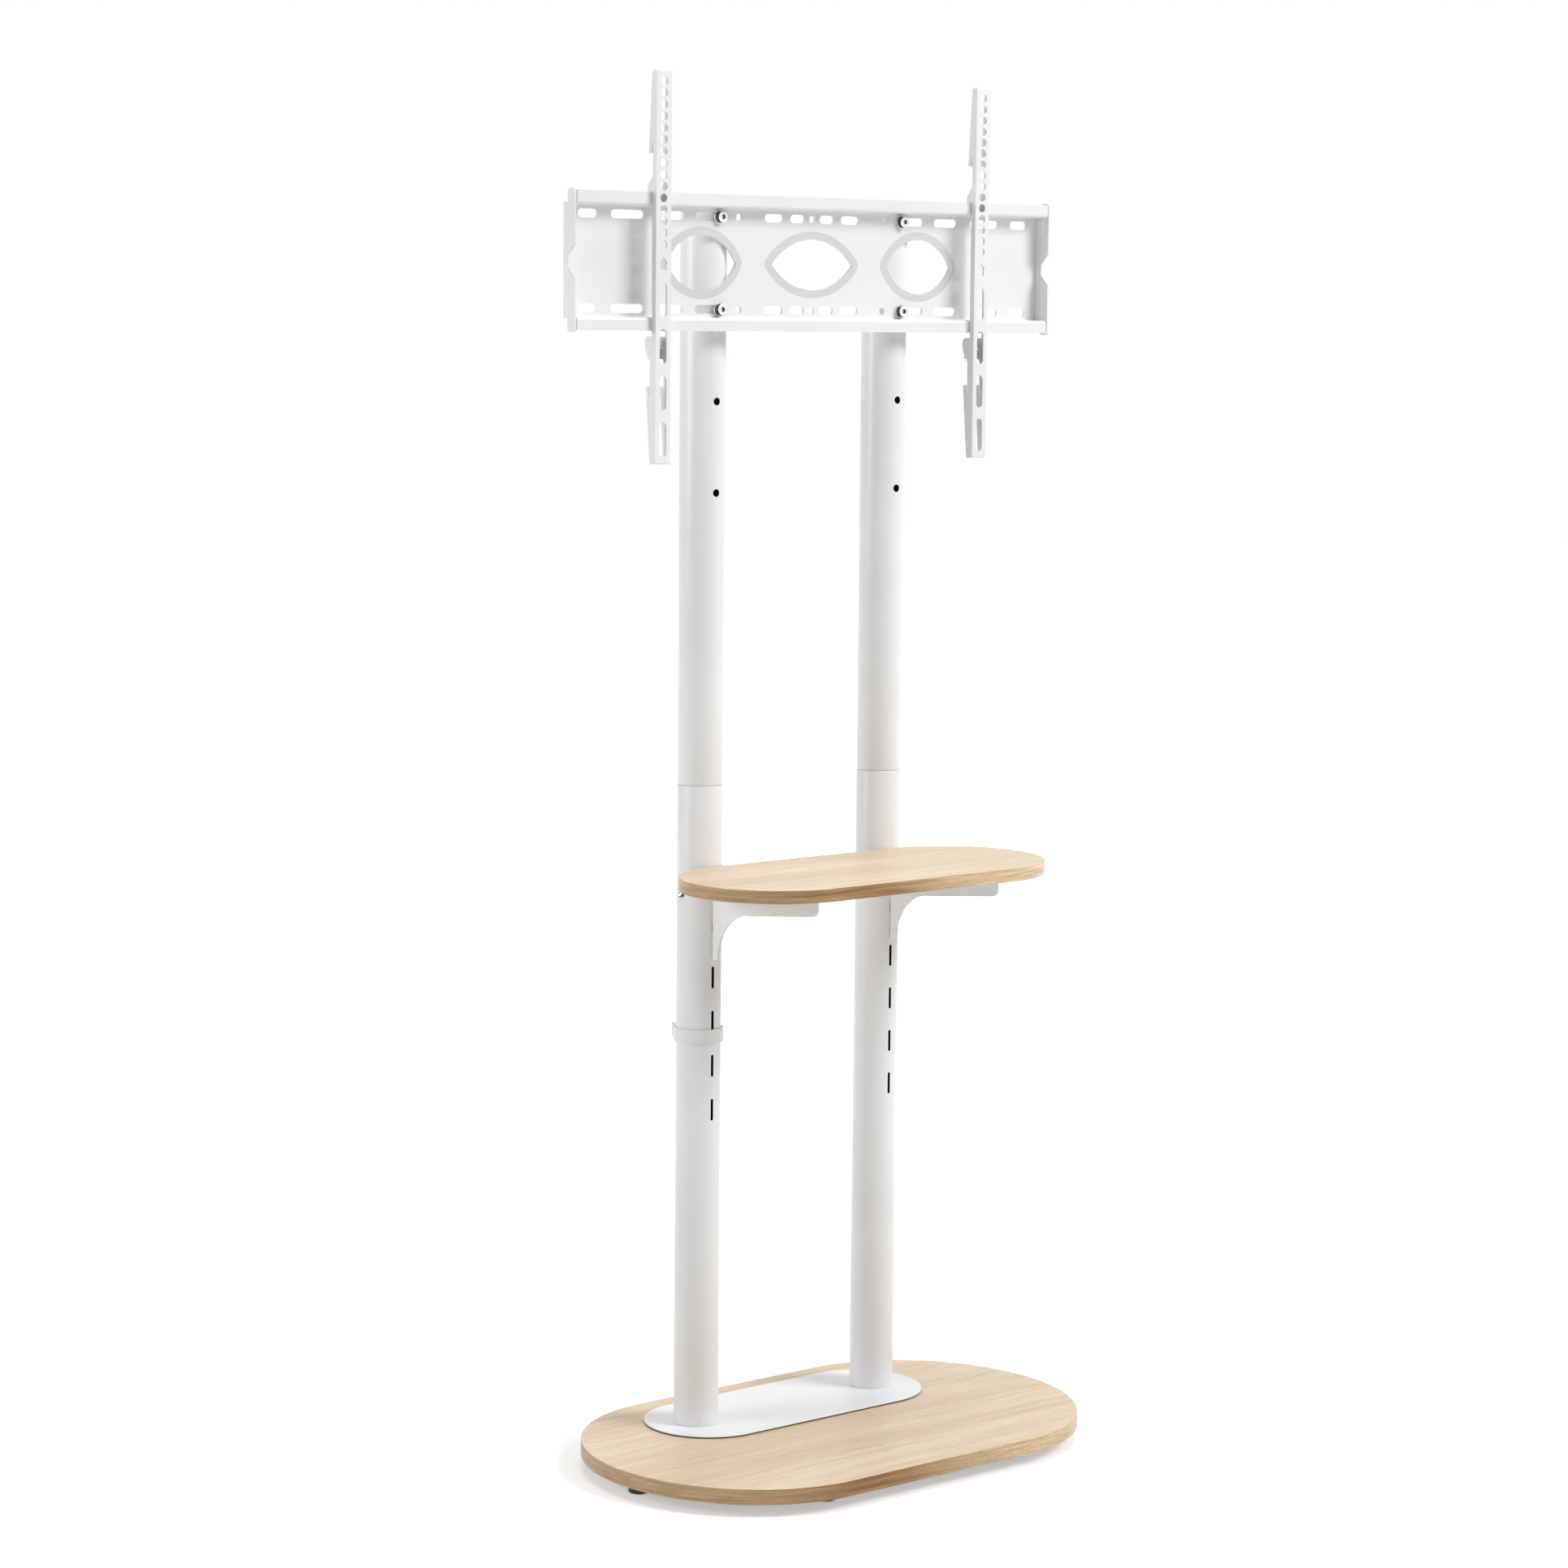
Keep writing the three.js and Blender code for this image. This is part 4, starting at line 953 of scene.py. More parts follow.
@dataclass(frozen=True, kw_only=True)
class TurnedSteel(Mottled):
    """Zinc-plated or blackened steel, turned and rolled.

    It is bright or dull metal with fine marks left by the tool.
    """

    roughness: Point = (0.22, 0.38)
    relief_strength: float = 0.15
    relief_depth: float = 0.01
    settings: Settings = (("Metallic", 1.0),)
    cloud_size: float = 6
    fine_detail: float = 3


@dataclass(frozen=True, kw_only=True)
class FlankShadeSteel(TurnedSteel):
    """Zinc-plated steel, painted darker for a screw head's flank.

    The dark grey is painted shade, so the flank reads as a grey ring round the bright face.
    """

    name: str = "zinc_steel_painted_flank_shade"
    low: str = "4a4b4d"
    high: str = "5c5d5f"
    roughness: Point = (0.4, 0.55)


@dataclass(frozen=True, kw_only=True)
class ScaleAndShade(Mottled):
    """Iron oxide that rolling leaves on steel, where no coat covers it.

    It is painted a dull, nearly black skin with a slight mottle, darker than bare oxide: painted
    shade, so a slot and the plate's undercut read as dark gaps.
    """

    name: str = "scale_and_painted_shade"
    low: str = "121111"
    high: str = "1e1d1c"
    roughness: Point = (0.7, 0.85)
    relief_strength: float = 0.2
    relief_depth: float = 0.02
    settings: Settings = (("IOR", 1.45),)
    cloud_size: float = 7
    cloud_detail: float = 3


@dataclass(frozen=True, kw_only=True)
class MouldedPlastic(Mottled):
    """Injection-moulded ABS.

    It is a little glossier than the coat beside it, with the faint ripple of its mould.
    """

    roughness: Point = (0.32, 0.4)
    relief_strength: float = 0.15
    relief_depth: float = 0.015
    settings: Settings = (("IOR", 1.53),)
    cloud_size: float = 9
    cloud_detail: float = 1
    fine_size: float = 0.9


@dataclass(frozen=True)
class Marks:
    """One layer of a printed wood grain: how large its marks are and how they tint."""

    sizes: Corner
    tint: str
    reach: Point
    most: float
    detail: float = 3
    warp: float = 0


@dataclass(frozen=True, kw_only=True)
class OakFoil(Surface):
    """Oak-grain melamine foil, pressed on particle board.

    Straight pale fibre with slow warm bands and short darker pores runs along the board, under
    a matt skin that is pressed in a little at the pores.
    """

    name: str = "oak_grain_melamine"
    roughness: Point = (0.34, 0.46)
    relief_strength: float = 0.25
    relief_depth: float = 0.05
    settings: Settings = (("IOR", 1.48),)
    bands: Stops = ((0.25, "d5bd9e"), (0.45, "e0cbaf"), (0.6, "e8d7be"), (0.8, "d8c2a4"))
    band_size: Corner = (900, 46, 46)
    band_detail: float = 3
    band_warp: float = 0.25
    streaks: Marks = Marks((420, 9, 9), "c5a27a", (0.45, 0.75), 0.42, warp=0.15)
    fibres: Marks = Marks((90, 1.7, 1.7), "c5a27a", (0.42, 0.72), 0.5)
    pores: Marks = Marks((17, 0.9, 0.9), "a7825b", (0.6, 0.7), 0.42, detail=2)
    pore_reach: Point = (0.55, 0.7)
    # Painted light and shade along the board, by place along X: none on a plain board.
    painted_light_stops: Stops = ()
    painted_light_tone: str = "ecd0aa"
    painted_light_reach: float = 300

    def painted_light_share(self, tree: bpy.types.NodeTree) -> bpy.types.Node:
        """Gives how far the painted light lifts the tone, by the place along the board.

        Args:
            tree: The node tree.

        Returns:
            The ramp node of the painted light.
        """
        place = add_node(tree, "ShaderNodeTexCoord").outputs["Object"]
        along = add_node(tree, "ShaderNodeSeparateXYZ", {0: place})
        end = self.painted_light_reach * MM
        share = {"Value": along, **from_to((-end, end), (0, 1))}
        mapped = add_node(tree, "ShaderNodeMapRange", share)
        return add_node(tree, "ShaderNodeValToRGB", {"Fac": mapped}, self.painted_light_stops)

    def material(self) -> bpy.types.Material:
        """Builds the material.

        Returns:
            The material.
        """
        material, tree, shader = new_material(self.name)
        bands = grain(tree, self.band_size, self.band_detail, self.band_warp)
        colour = add_node(tree, "ShaderNodeValToRGB", {"Fac": bands}, self.bands).outputs[0]
        marks = (self.streaks, self.fibres, self.pores)
        masks = [grain(tree, mark.sizes, mark.detail, mark.warp) for mark in marks]
        layers = [(mask, mark.reach, mark.most, mark.tint) for mask, mark in zip(masks, marks)]
        # Painted light and shade: the tone is lifted towards a paler one by place along the board.
        if self.painted_light_stops:
            layers.insert(0, (self.painted_light_share(tree), (0, 1), 1, self.painted_light_tone))
        for mask, reach, most, tint in layers:
            share = {"Value": mask, **from_to(reach, (0, most))}
            layer = {
                "Factor": add_node(tree, "ShaderNodeMapRange", share),
                MIX_UNDER: colour,
                MIX_OVER: linear(tint),
            }
            mixed = add_node(tree, "ShaderNodeMix", layer, data_type="RGBA")
            colour = mixed.outputs[MIX_RESULT]
        _, fibres, pores = masks
        pressed = {"Value": pores, **from_to(self.pore_reach, (1, 0))}
        height = add_node(tree, "ShaderNodeMapRange", pressed)
        self.shade(tree, shader, colour, fibres, height)
        return material


@dataclass(frozen=True, kw_only=True)
class OakEdging(OakFoil):
    """Oak-grain edge band, glued round the rim of a board.

    Its fibre runs round the rim in level lines, a shade browner than the face.
    Its tone is painted paler towards the ends of the board, most towards the right end, and left
    at
    its own brown just left of the middle: painted light and painted shade.
    """

    name: str = "oak_grain_edging"
    roughness: Point = (0.3, 0.42)
    bands: Stops = ((0.3, "774d2a"), (0.45, "996e42"), (0.58, "b48f60"), (0.75, "8f643b"))
    band_size: Corner = (160, 160, 7)
    streaks: Marks = Marks((90, 90, 2.6), "845932", (0.45, 0.75), 0.42, warp=0.15)
    fibres: Marks = Marks((40, 40, 1.0), "845932", (0.42, 0.72), 0.5)
    pores: Marks = Marks((12, 12, 0.9), "7a502a", (0.6, 0.7), 0.42, detail=2)
    # Painted light and shade: share of the paler tone by place, from the left end to the right.
    painted_light_stops: Stops = (
        (0.05, "b0b0b0"),
        (0.16, "8c8c8c"),
        (0.3, "000000"),
        (0.42, "303030"),
        (0.55, "d0d0d0"),
        (0.7, "ffffff"),
    )


class Finish(Enum):
    """The finishes of the stand, by the slot of the record that each one fills."""

    WHITE_STEEL = "white_steel"
    OAK = "oak"
    ZINC = "zinc"
    DARK_STEEL = "dark_steel"
    BLACK_STEEL = "black_steel"
    WHITE_PLASTIC = "white_plastic"


class Accent(Enum):
    """Further materials that cover part of a piece."""

    EDGING = "edge band round a board"
    # Painted shade: a greyer coat on the pressed band round each eye.
    RIM_SHADE = "powder coat that lies thinner on a pressed band"
    # Near-black uncoated steel, darkened further as painted shade in the tubes' bores and slots
    # and under the base plate's edge.
    SCALE_AND_SHADE = "uncoated steel inside a tube and under a plate's edge"
    # Painted shade: a darker flank on a screw head.
    KNURLED = "knurled flank of a screw head"


class Paintshop:
    """Makes each finish once and puts it on pieces and on carried-over nodes."""

    def __init__(self) -> None:
        """Builds the materials."""
        surfaces = {
            Finish.WHITE_STEEL: PowderCoat(name="white_powder_coat", low="ebeced", high="f0f1f2"),
            Finish.OAK: OakFoil(),
            Finish.ZINC: TurnedSteel(name="zinc_plated_steel", low="d2d3d4", high="e4e4e5"),
            Finish.DARK_STEEL: TurnedSteel(
                name="blackened_steel", low="363637", high="4a4a4b", roughness=(0.35, 0.5)
            ),
            Finish.BLACK_STEEL: PowderCoat(
                name="black_powder_coat",
                low="2c2b2a",
                high="3a3938",
                roughness=(0.45, 0.6),
                fine_size=1.6,
            ),
            Finish.WHITE_PLASTIC: MouldedPlastic(name="white_abs", low="e7e7e6", high="ececeb"),
            Accent.EDGING: OakEdging(),
            Accent.RIM_SHADE: RimShadeCoat(),
            Accent.SCALE_AND_SHADE: ScaleAndShade(),
            Accent.KNURLED: FlankShadeSteel(),
        }
        self.materials = {key: surface.material() for key, surface in surfaces.items()}

    def paint(self, piece: Piece, finish: Finish) -> None:
        """Makes a finish the only material of a piece."""
        piece.data.materials.clear()
        piece.data.materials.append(self.materials[finish])

    def accent(self, piece: Piece, accent: Accent, chosen: Test) -> None:
        """Puts a further material on part of a dressed piece.

        Args:
            piece: The piece.
            accent: The further material.
            chosen: Tells from a face's centre and normal whether the material goes there.
        """
        index = len(piece.data.materials)
        piece.data.materials.append(self.materials[accent])
        for face in piece.data.polygons:
            if chosen(face.center, face.normal):
                face.material_index = index

    def dress(self, piece: Piece, finish: Finish, body: str, *nodes: str) -> Piece:
        """Coats a new piece and ties it to the frame.

        Args:
            piece: The finished piece.
            finish: Its finish.
            body: The body that it rides on.
            *nodes: The CAD nodes that it stands for.

        Returns:
            The piece.
        """
        self.paint(piece, finish)
        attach(piece, body)
        if nodes:
            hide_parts(*nodes)
        LOG.info("%s: %d faces, on %s", piece.name, len(piece.data.polygons), body)
        return piece

    def carry_over(self, nodes: dict[str, Piece], name: str, finish: Finish) -> None:
        """Gives a CAD node that stays in view its material."""
        self.paint(nodes[name], finish)
        LOG.info("%s: carried over", name)


# Fasteners


@dataclass(frozen=True)
class Fastener:
    """A headed screw or bolt with a hexagon socket, made head down round the Z axis."""

    radius: float
    length: float
    head_radius: float
    head_height: float
    across: float
    socket_depth: float
    crown: float = 1.0
    pitch: float = 1.25
    thread_depth: float = 0.35
    first_turn: float = 0.5
    flank: float = 0.4
    steps: int = 40

    def head_line(self) -> list[Point]:
        """Gives the head's outer line.

        Returns:
            The points, from the socket's face to the shank.
        """
        centre = (self.head_radius - self.crown, self.crown - self.head_height)
        crown = arc(centre, (self.crown, self.crown), -90, 0, CORNER_STEPS)
        return [(0, -self.head_height), *crown, (self.head_radius, 0), (self.radius, 0)]

    def thread_line(self) -> list[Point]:
        """Gives the shank's line, with a V groove at each turn of the thread.

        Returns:
            The points, from the head to the tip.
        """
        turns = int((self.length - self.pitch) / self.pitch)
        root = self.radius - self.thread_depth
        flank = self.pitch * self.flank
        line: list[Point] = [(self.radius, flank)]
        for turn in range(turns):
            start = self.pitch * (turn + self.first_turn)
            line += [(self.radius, start), (root, start + flank), (self.radius, start + 2 * flank)]
        return [*line, (root, self.length), (0, self.length)]

    def build(self, name: str) -> Piece:
        """Models the fastener round the origin, with its shank along +Z.

        Args:
            name: The piece's name.

        Returns:
            The fastener.
        """
        piece = spun(name, self.head_line() + self.thread_line(), self.steps)
        start = (0, 0, -self.head_height - OVERSHOOT)
        corner, depth = self.across / math.sqrt(3), self.socket_depth + OVERSHOOT
        carve(piece, [rod("socket", Plane.LEVEL, start, corner, depth, steps=6)])
        return smooth(piece, SPUN_ANGLE)


def washer(name: str, outer: float, inner: float, thickness: float) -> Piece:
    """Models a flat washer round the origin, from 0 up, with its rims eased.

    Args:
        name: The piece's name.
        outer: Its outer radius.
        inner: Its bore's radius.
        thickness: Its thickness.

    Returns:
        The washer.
    """
    ease = thickness / 5
    profile = [
        (inner, 0),
        (outer - ease, 0),
        (outer, ease),
        (outer, thickness - ease),
        (outer - ease, thickness),
        (inner, thickness),
    ]
    return smooth(spun(name, profile, ROUND_STEPS), SPUN_ANGLE)


# Sub-assemblies


@dataclass(kw_only=True)
class StandPart:
    """Sizes that the sub-assemblies share: the columns' places and tubes, and the mount's."""

    spacing: float = 262
    setback: float = 86
    tube_radius: float = 25.4
    tube_wall: float = 1.5
    mount_level: float = 1338
    mount_pitch: float = 100
    mount_height: float = 147
    mount_steel: float = 2


@dataclass
class Base(StandPart):
    """The oak base board with its feet and the steel plate under the columns."""

    width: float = 614
    depth: float = 381
    end_length: float = 174.5
    thickness: float = 18
    underside: float = 14
    edge_ease: float = 1.0
    plate_width: float = 372
    plate_depth: float = 147
    plate_thickness: float = 3
    plate_ease: float = 0.7
    plate_undercut: float = 1.6
    undercut_normal: float = 0.3
    bolt_hole: float = 5.2
    counterbore: float = 13
    counterbore_depth: float = 8.5
    insert_pocket: float = 5.7
    insert_depth: float = 14
    pad_radius: float = 12
    pad_height: float = 8
    pad_rounding: float = 2.4
    neck_radius: float = 6
    neck_fillet: float = 1.5
    stud_radius: float = 3
    stud_top: float = 25
    tip_inset: float = 30
    side_inset: float = 45
    rim_steps: int = 48
    plate_steps: int = 36

    def foot_places(self) -> dict[str, Point]:
        """Gives the place of each foot by its name.

        Returns:
            Places across and back from the middle of the base.
        """
        tip = self.width / 2 - self.tip_inset
        along = self.width / 2 - self.end_length
        across = self.depth / 2 - self.side_inset
        return {
            "left_end": (-tip, 0),
            "right_end": (tip, 0),
            "front_left": (-along, -across),
            "front_right": (along, -across),
            "back_left": (-along, across),
            "back_right": (along, across),
        }

    def board(self) -> Piece:
        """Models the board, with pockets for the inserts and stepped holes for the bolts.

        Returns:
            The board.
        """
        outline = oval((0, 0), self.width, self.depth, self.end_length, self.rim_steps)
        board = slab("oak_base_board", outline, Plane.LEVEL, self.underside, self.thickness)
        for above in (False, True):
            round_rims(board, self.edge_ease, above)
        cuts = [
            ("pocket", place, self.insert_pocket, self.insert_depth, HOLE_STEPS)
            for place in self.foot_places().values()
        ]
        for side in SIDE_NAMES:
            place = (side * self.spacing / 2, self.setback)
            through, seat = self.thickness + OVERSHOOT, self.counterbore_depth
            cuts.append(("bolt_way", place, self.bolt_hole, through, HOLE_STEPS))
            cuts.append(("counterbore", place, self.counterbore, seat, ROUND_STEPS))
        for name, (x, y), radius, depth, steps in cuts:
            start = (x, y, self.underside - OVERSHOOT)
            carve(board, [rod(name, Plane.LEVEL, start, radius, depth + OVERSHOOT, steps)])
        return smooth(board, weighted=True)

    def plate(self) -> Piece:
        """Models the oval steel plate under the columns.

        Returns:
            The plate.
        """
        middle, end = (0, self.setback), self.plate_depth / 2
        outline = oval(middle, self.plate_width, self.plate_depth, end, self.plate_steps)
        level = self.underside + self.thickness
        plate = slab("steel_base_plate", outline, Plane.LEVEL, level, self.plate_thickness)
        round_rims(plate, self.plate_ease, above=True)
        round_rims(plate, self.plate_undercut, above=False, steps=1)
        return smooth(plate, weighted=True)

    def under_plate(self, centre: Vector, normal: Vector) -> bool:
        """Tells whether a face of the plate looks down, as its undercut does."""
        return normal.z < -self.undercut_normal

    def foot(self) -> Piece:
        """Models one levelling foot round the origin: pad, neck and stud.

        Returns:
            The foot.
        """
        ease, fillet, top = self.pad_rounding, self.neck_fillet, self.pad_height
        rim = self.pad_radius - ease
        hollow = (self.neck_radius + fillet, top + fillet)
        profile = [
            (0, 0),
            *arc((rim, ease), (ease, ease), -90, 0, CORNER_STEPS),
            *arc((rim, top - ease), (ease, ease), 0, 90, CORNER_STEPS),
            *arc(hollow, (fillet, fillet), -90, -180, 4),
            (self.neck_radius, self.underside),
            (self.stud_radius, self.underside),
            (self.stud_radius, self.stud_top),
            (0, self.stud_top),
        ]
        return smooth(spun("levelling_foot", profile, ROUND_STEPS), SPUN_ANGLE)

    def build(self, shop: Paintshop, nodes: dict[str, Piece]) -> None:
        """Builds and dresses the base.

        Args:
            shop: The finishes.
            nodes: The CAD nodes by name.
        """
        board = shop.dress(self.board(), Finish.OAK, "stand", "base_board")
        shop.accent(board, Accent.EDGING, on_edge)
        plate = shop.dress(self.plate(), Finish.WHITE_STEEL, "stand", "base_plate")
        # Painted shade: near-black on the undercut under the plate's edge.
        shop.accent(plate, Accent.SCALE_AND_SHADE, self.under_plate)
        pattern = self.foot()
        for name, (x, y) in self.foot_places().items():
            foot = copy_of(pattern, f"levelling_foot_{name}", (x, y, 0))
            shop.dress(foot, Finish.BLACK_STEEL, f"foot_{name}", f"foot_{name}")
            shop.carry_over(nodes, f"foot_insert_{name}", Finish.ZINC)
        discard(pattern)


def on_edge(centre: Vector, normal: Vector) -> bool:
    """Tells whether a face belongs to the edge of a level board."""
    return abs(normal.z) < FACING


@dataclass
class Column(StandPart):
    """One column: two tubes on a hidden sleeve, a cap on top and the bolt at its foot."""

    side: int
    dark_inside_radius: float = 24.8
    flat_end: float = 0.99
    end_ease: float = 0.75
    foot_level: float = 35
    seam_level: float = 764
    seam_gap: float = 0.25
    top_level: float = 1399.2
    cap_height: float = 3
    cap_crown: float = 1.4
    cap_steps: int = 96
    spigot_length: float = 5
    spigot_clearance: float = 0.2
    slot_height: float = 25
    slot_width: float = 3.5
    slot_pitch: float = 50
    slot_count: int = 6
    slot_steps: int = 8
    lowest_slot: float = 399
    mount_hole: float = 4.3
    mount_holes: int = 4
    mount_steps: int = 40
    side_screw_level: float = 643.8986
    side_screw_hole: float = 2.8
    side_screw_stand: float = 0.2
    side_screw_bright: float = 3.2
    side_screw_steps: int = 24
    washer_level: float = 21
    washer_radius: float = 12
    washer_bore: float = 5.2
    washer_thickness: float = 1.5
    bolt_head: float = 8.5
    bolt_head_height: float = 6
    bolt_radius: float = 5
    bolt_length: float = 35
    bolt_ease: float = 0.5
    steps: int = 160
    side_screw: Fastener = Fastener(
        radius=2.5, length=23.6, head_radius=5, head_height=2.8, across=3, socket_depth=1.6,
        crown=1.3, pitch=0.8, thread_depth=0.22
    )

    @property
    def name(self) -> str:
        """The column's side as a word."""
        return SIDE_NAMES[self.side]

    @property
    def axis(self) -> Point:
        """Where the column stands."""
        return self.side * self.spacing / 2, self.setback

    def inside(self, centre: Vector, normal: Vector) -> bool:
        """Tells whether a face looks into the tube or into one of its holes."""
        reach = (centre.xy - Vector(self.axis) * MM).length
        return reach < self.dark_inside_radius * MM and abs(normal.z) < self.flat_end

    def screw_rim(self, centre: Vector, normal: Vector) -> bool:
        """Tells whether a face lies on the flank or the outer rim of the side screw's head, where
        painted shade goes.
        """
        axis = Vector((self.setback, self.side_screw_level)) * MM
        return (centre.yz - axis).length > self.side_screw_bright * MM

    def tube(self, name: str, low: float, high: float) -> Piece:
        """Models a tube: a bar whose ends are inset and bridged into a bore.

        Args:
            name: The piece's name.
            low: Its lower end.
            high: Its upper end.

        Returns:
            The tube.
        """
        tube = rod(name, Plane.LEVEL, (*self.axis, low), self.tube_radius, high - low, self.steps)
        start_edit(tube)
        pick(tube, Element.FACE, lambda middle, normal: abs(normal.z) > ALONG)
        bpy.ops.mesh.inset(thickness=self.tube_wall * MM)
        bpy.ops.mesh.bridge_edge_loops()
        end_edit()
        axis, least = Vector(self.axis), self.tube_radius - self.tube_wall / 2

        def outer_rim(middle: Vector, direction: Vector) -> bool:
            """Tells whether an edge lies on the outer rim of an end."""
            at_end = min(abs(middle.z - low), abs(middle.z - high)) < LEVEL_TOLERANCE
            return at_end and abs(direction.z) < ACROSS and (middle.xy - axis).length > least

        bevel_edges(tube, self.end_ease, 3, outer_rim)
        return face_outwards(tube)

    def lower_tube(self) -> Piece:
        """Models the lower tube with its shelf slots and the hole for the side screw.

        Returns:
            The tube.
        """
        x, y = self.axis
        tube = self.tube(f"{self.name}_lower_column", self.foot_level, self.seam_level)
        lowest = (x, self.lowest_slot)
        outline = slot_outline(lowest, self.slot_width, self.slot_height, self.slot_steps)
        slot = slab("shelf_slot", outline, Plane.FRONT, self.tube_radius / 2 - y, self.tube_radius)
        tools = row_of(slot, self.slot_count, self.slot_pitch)
        start = x if self.side == RIGHT else x - self.tube_radius - OVERSHOOT
        place, depth = (y, self.side_screw_level, start), self.tube_radius + OVERSHOOT
        radius, steps = self.side_screw_hole, self.side_screw_steps
        tools.append(rod("screw_way", Plane.SIDE, place, radius, depth, steps))
        return smooth(carve(tube, tools))

    def upper_tube(self) -> Piece:
        """Models the upper tube with its four mount holes.

        Returns:
            The tube.
        """
        x, y = self.axis
        low = self.seam_level + self.seam_gap
        tube = self.tube(f"{self.name}_upper_column", low, self.top_level)
        highest = self.mount_level + self.mount_pitch / 2
        radius, depth, tools = self.mount_hole, self.tube_radius, []
        for index in range(self.mount_holes):
            place = (x, highest - index * self.mount_pitch, self.tube_radius / 2 - y)
            tools.append(rod("mount_hole", Plane.FRONT, place, radius, depth, self.mount_steps))
        return smooth(carve(tube, tools))

    def cap(self) -> Piece:
        """Models the crowned cap with its spigot.

        Returns:
            The cap, in its place.
        """
        spigot = self.tube_radius - self.tube_wall - self.spigot_clearance
        ease = self.cap_crown
        centre = (self.tube_radius - ease, self.cap_height - ease)
        profile = [
            (0, -self.spigot_length),
            (spigot, -self.spigot_length),
            (spigot, 0),
            (self.tube_radius, 0),
            *arc(centre, (ease, ease), 0, 90, BEND_STEPS),
            (0, self.cap_height),
        ]
        cap = smooth(spun(f"{self.name}_column_cap", profile, self.cap_steps), SPUN_ANGLE)
        return stood(cap, Plane.LEVEL, (*self.axis, self.top_level))

    def foot_washer(self) -> Piece:
        """Models the washer under the foot bolt's head.

        Returns:
            The washer, in its place.
        """
        name, thickness = f"{self.name}_foot_washer", self.washer_thickness
        ring = washer(name, self.washer_radius, self.washer_bore, thickness)
        return stood(ring, Plane.LEVEL, (*self.axis, self.washer_level))

    def foot_bolt(self) -> Piece:
        """Models the hexagon bolt that holds the column from under the base.

        Returns:
            The bolt, in its place.
        """
        name, height = f"{self.name}_foot_bolt", self.bolt_head_height
        low = self.washer_level - height
        bolt = rod(name, Plane.LEVEL, (*self.axis, low), self.bolt_head, height, steps=6)
        start = (*self.axis, low + OVERSHOOT)
        shank = rod("shank", Plane.LEVEL, start, self.bolt_radius, self.bolt_length, HOLE_STEPS)
        return ease_edges(carve(bolt, [shank], Cut.TOGETHER), self.bolt_ease)

    def build(self, shop: Paintshop, nodes: dict[str, Piece]) -> None:
        """Builds and dresses the column.

        Args:
            shop: The finishes.
            nodes: The CAD nodes by name.
        """
        name = self.name
        for tube, node in ((self.lower_tube(), "lower_tube"), (self.upper_tube(), "upper_tube")):
            shop.dress(tube, Finish.WHITE_STEEL, "stand", f"{name}_{node}")
            # Painted shade: near-black on the bore and on the walls of the slots and holes.
            shop.accent(tube, Accent.SCALE_AND_SHADE, self.inside)
        shop.dress(self.cap(), Finish.WHITE_PLASTIC, "stand", f"{name}_top_cap")
        screw = self.side_screw.build(f"{name}_socket_screw")
        screw.rotation_euler = (0, -self.side * math.pi / 2, 0)
        x, y = self.axis
        seat = x + self.side * (self.tube_radius + self.side_screw_stand)
        screw.location = Vector((seat, y, self.side_screw_level)) * MM
        shop.dress(settle(screw), Finish.ZINC, "stand", f"{name}_side_screw")
        # Painted shade on the head's flank and outer rim.
        shop.accent(screw, Accent.KNURLED, self.screw_rim)
        for hidden in ("joining_sleeve", "foot_plug"):
            shop.carry_over(nodes, f"{name}_{hidden}", Finish.ZINC)
        shop.carry_over(nodes, f"{name}_thread_strip", Finish.DARK_STEEL)
        shop.dress(self.foot_washer(), Finish.ZINC, "stand", f"{name}_base_washer")
        shop.dress(self.foot_bolt(), Finish.ZINC, "stand", f"{name}_base_bolt")


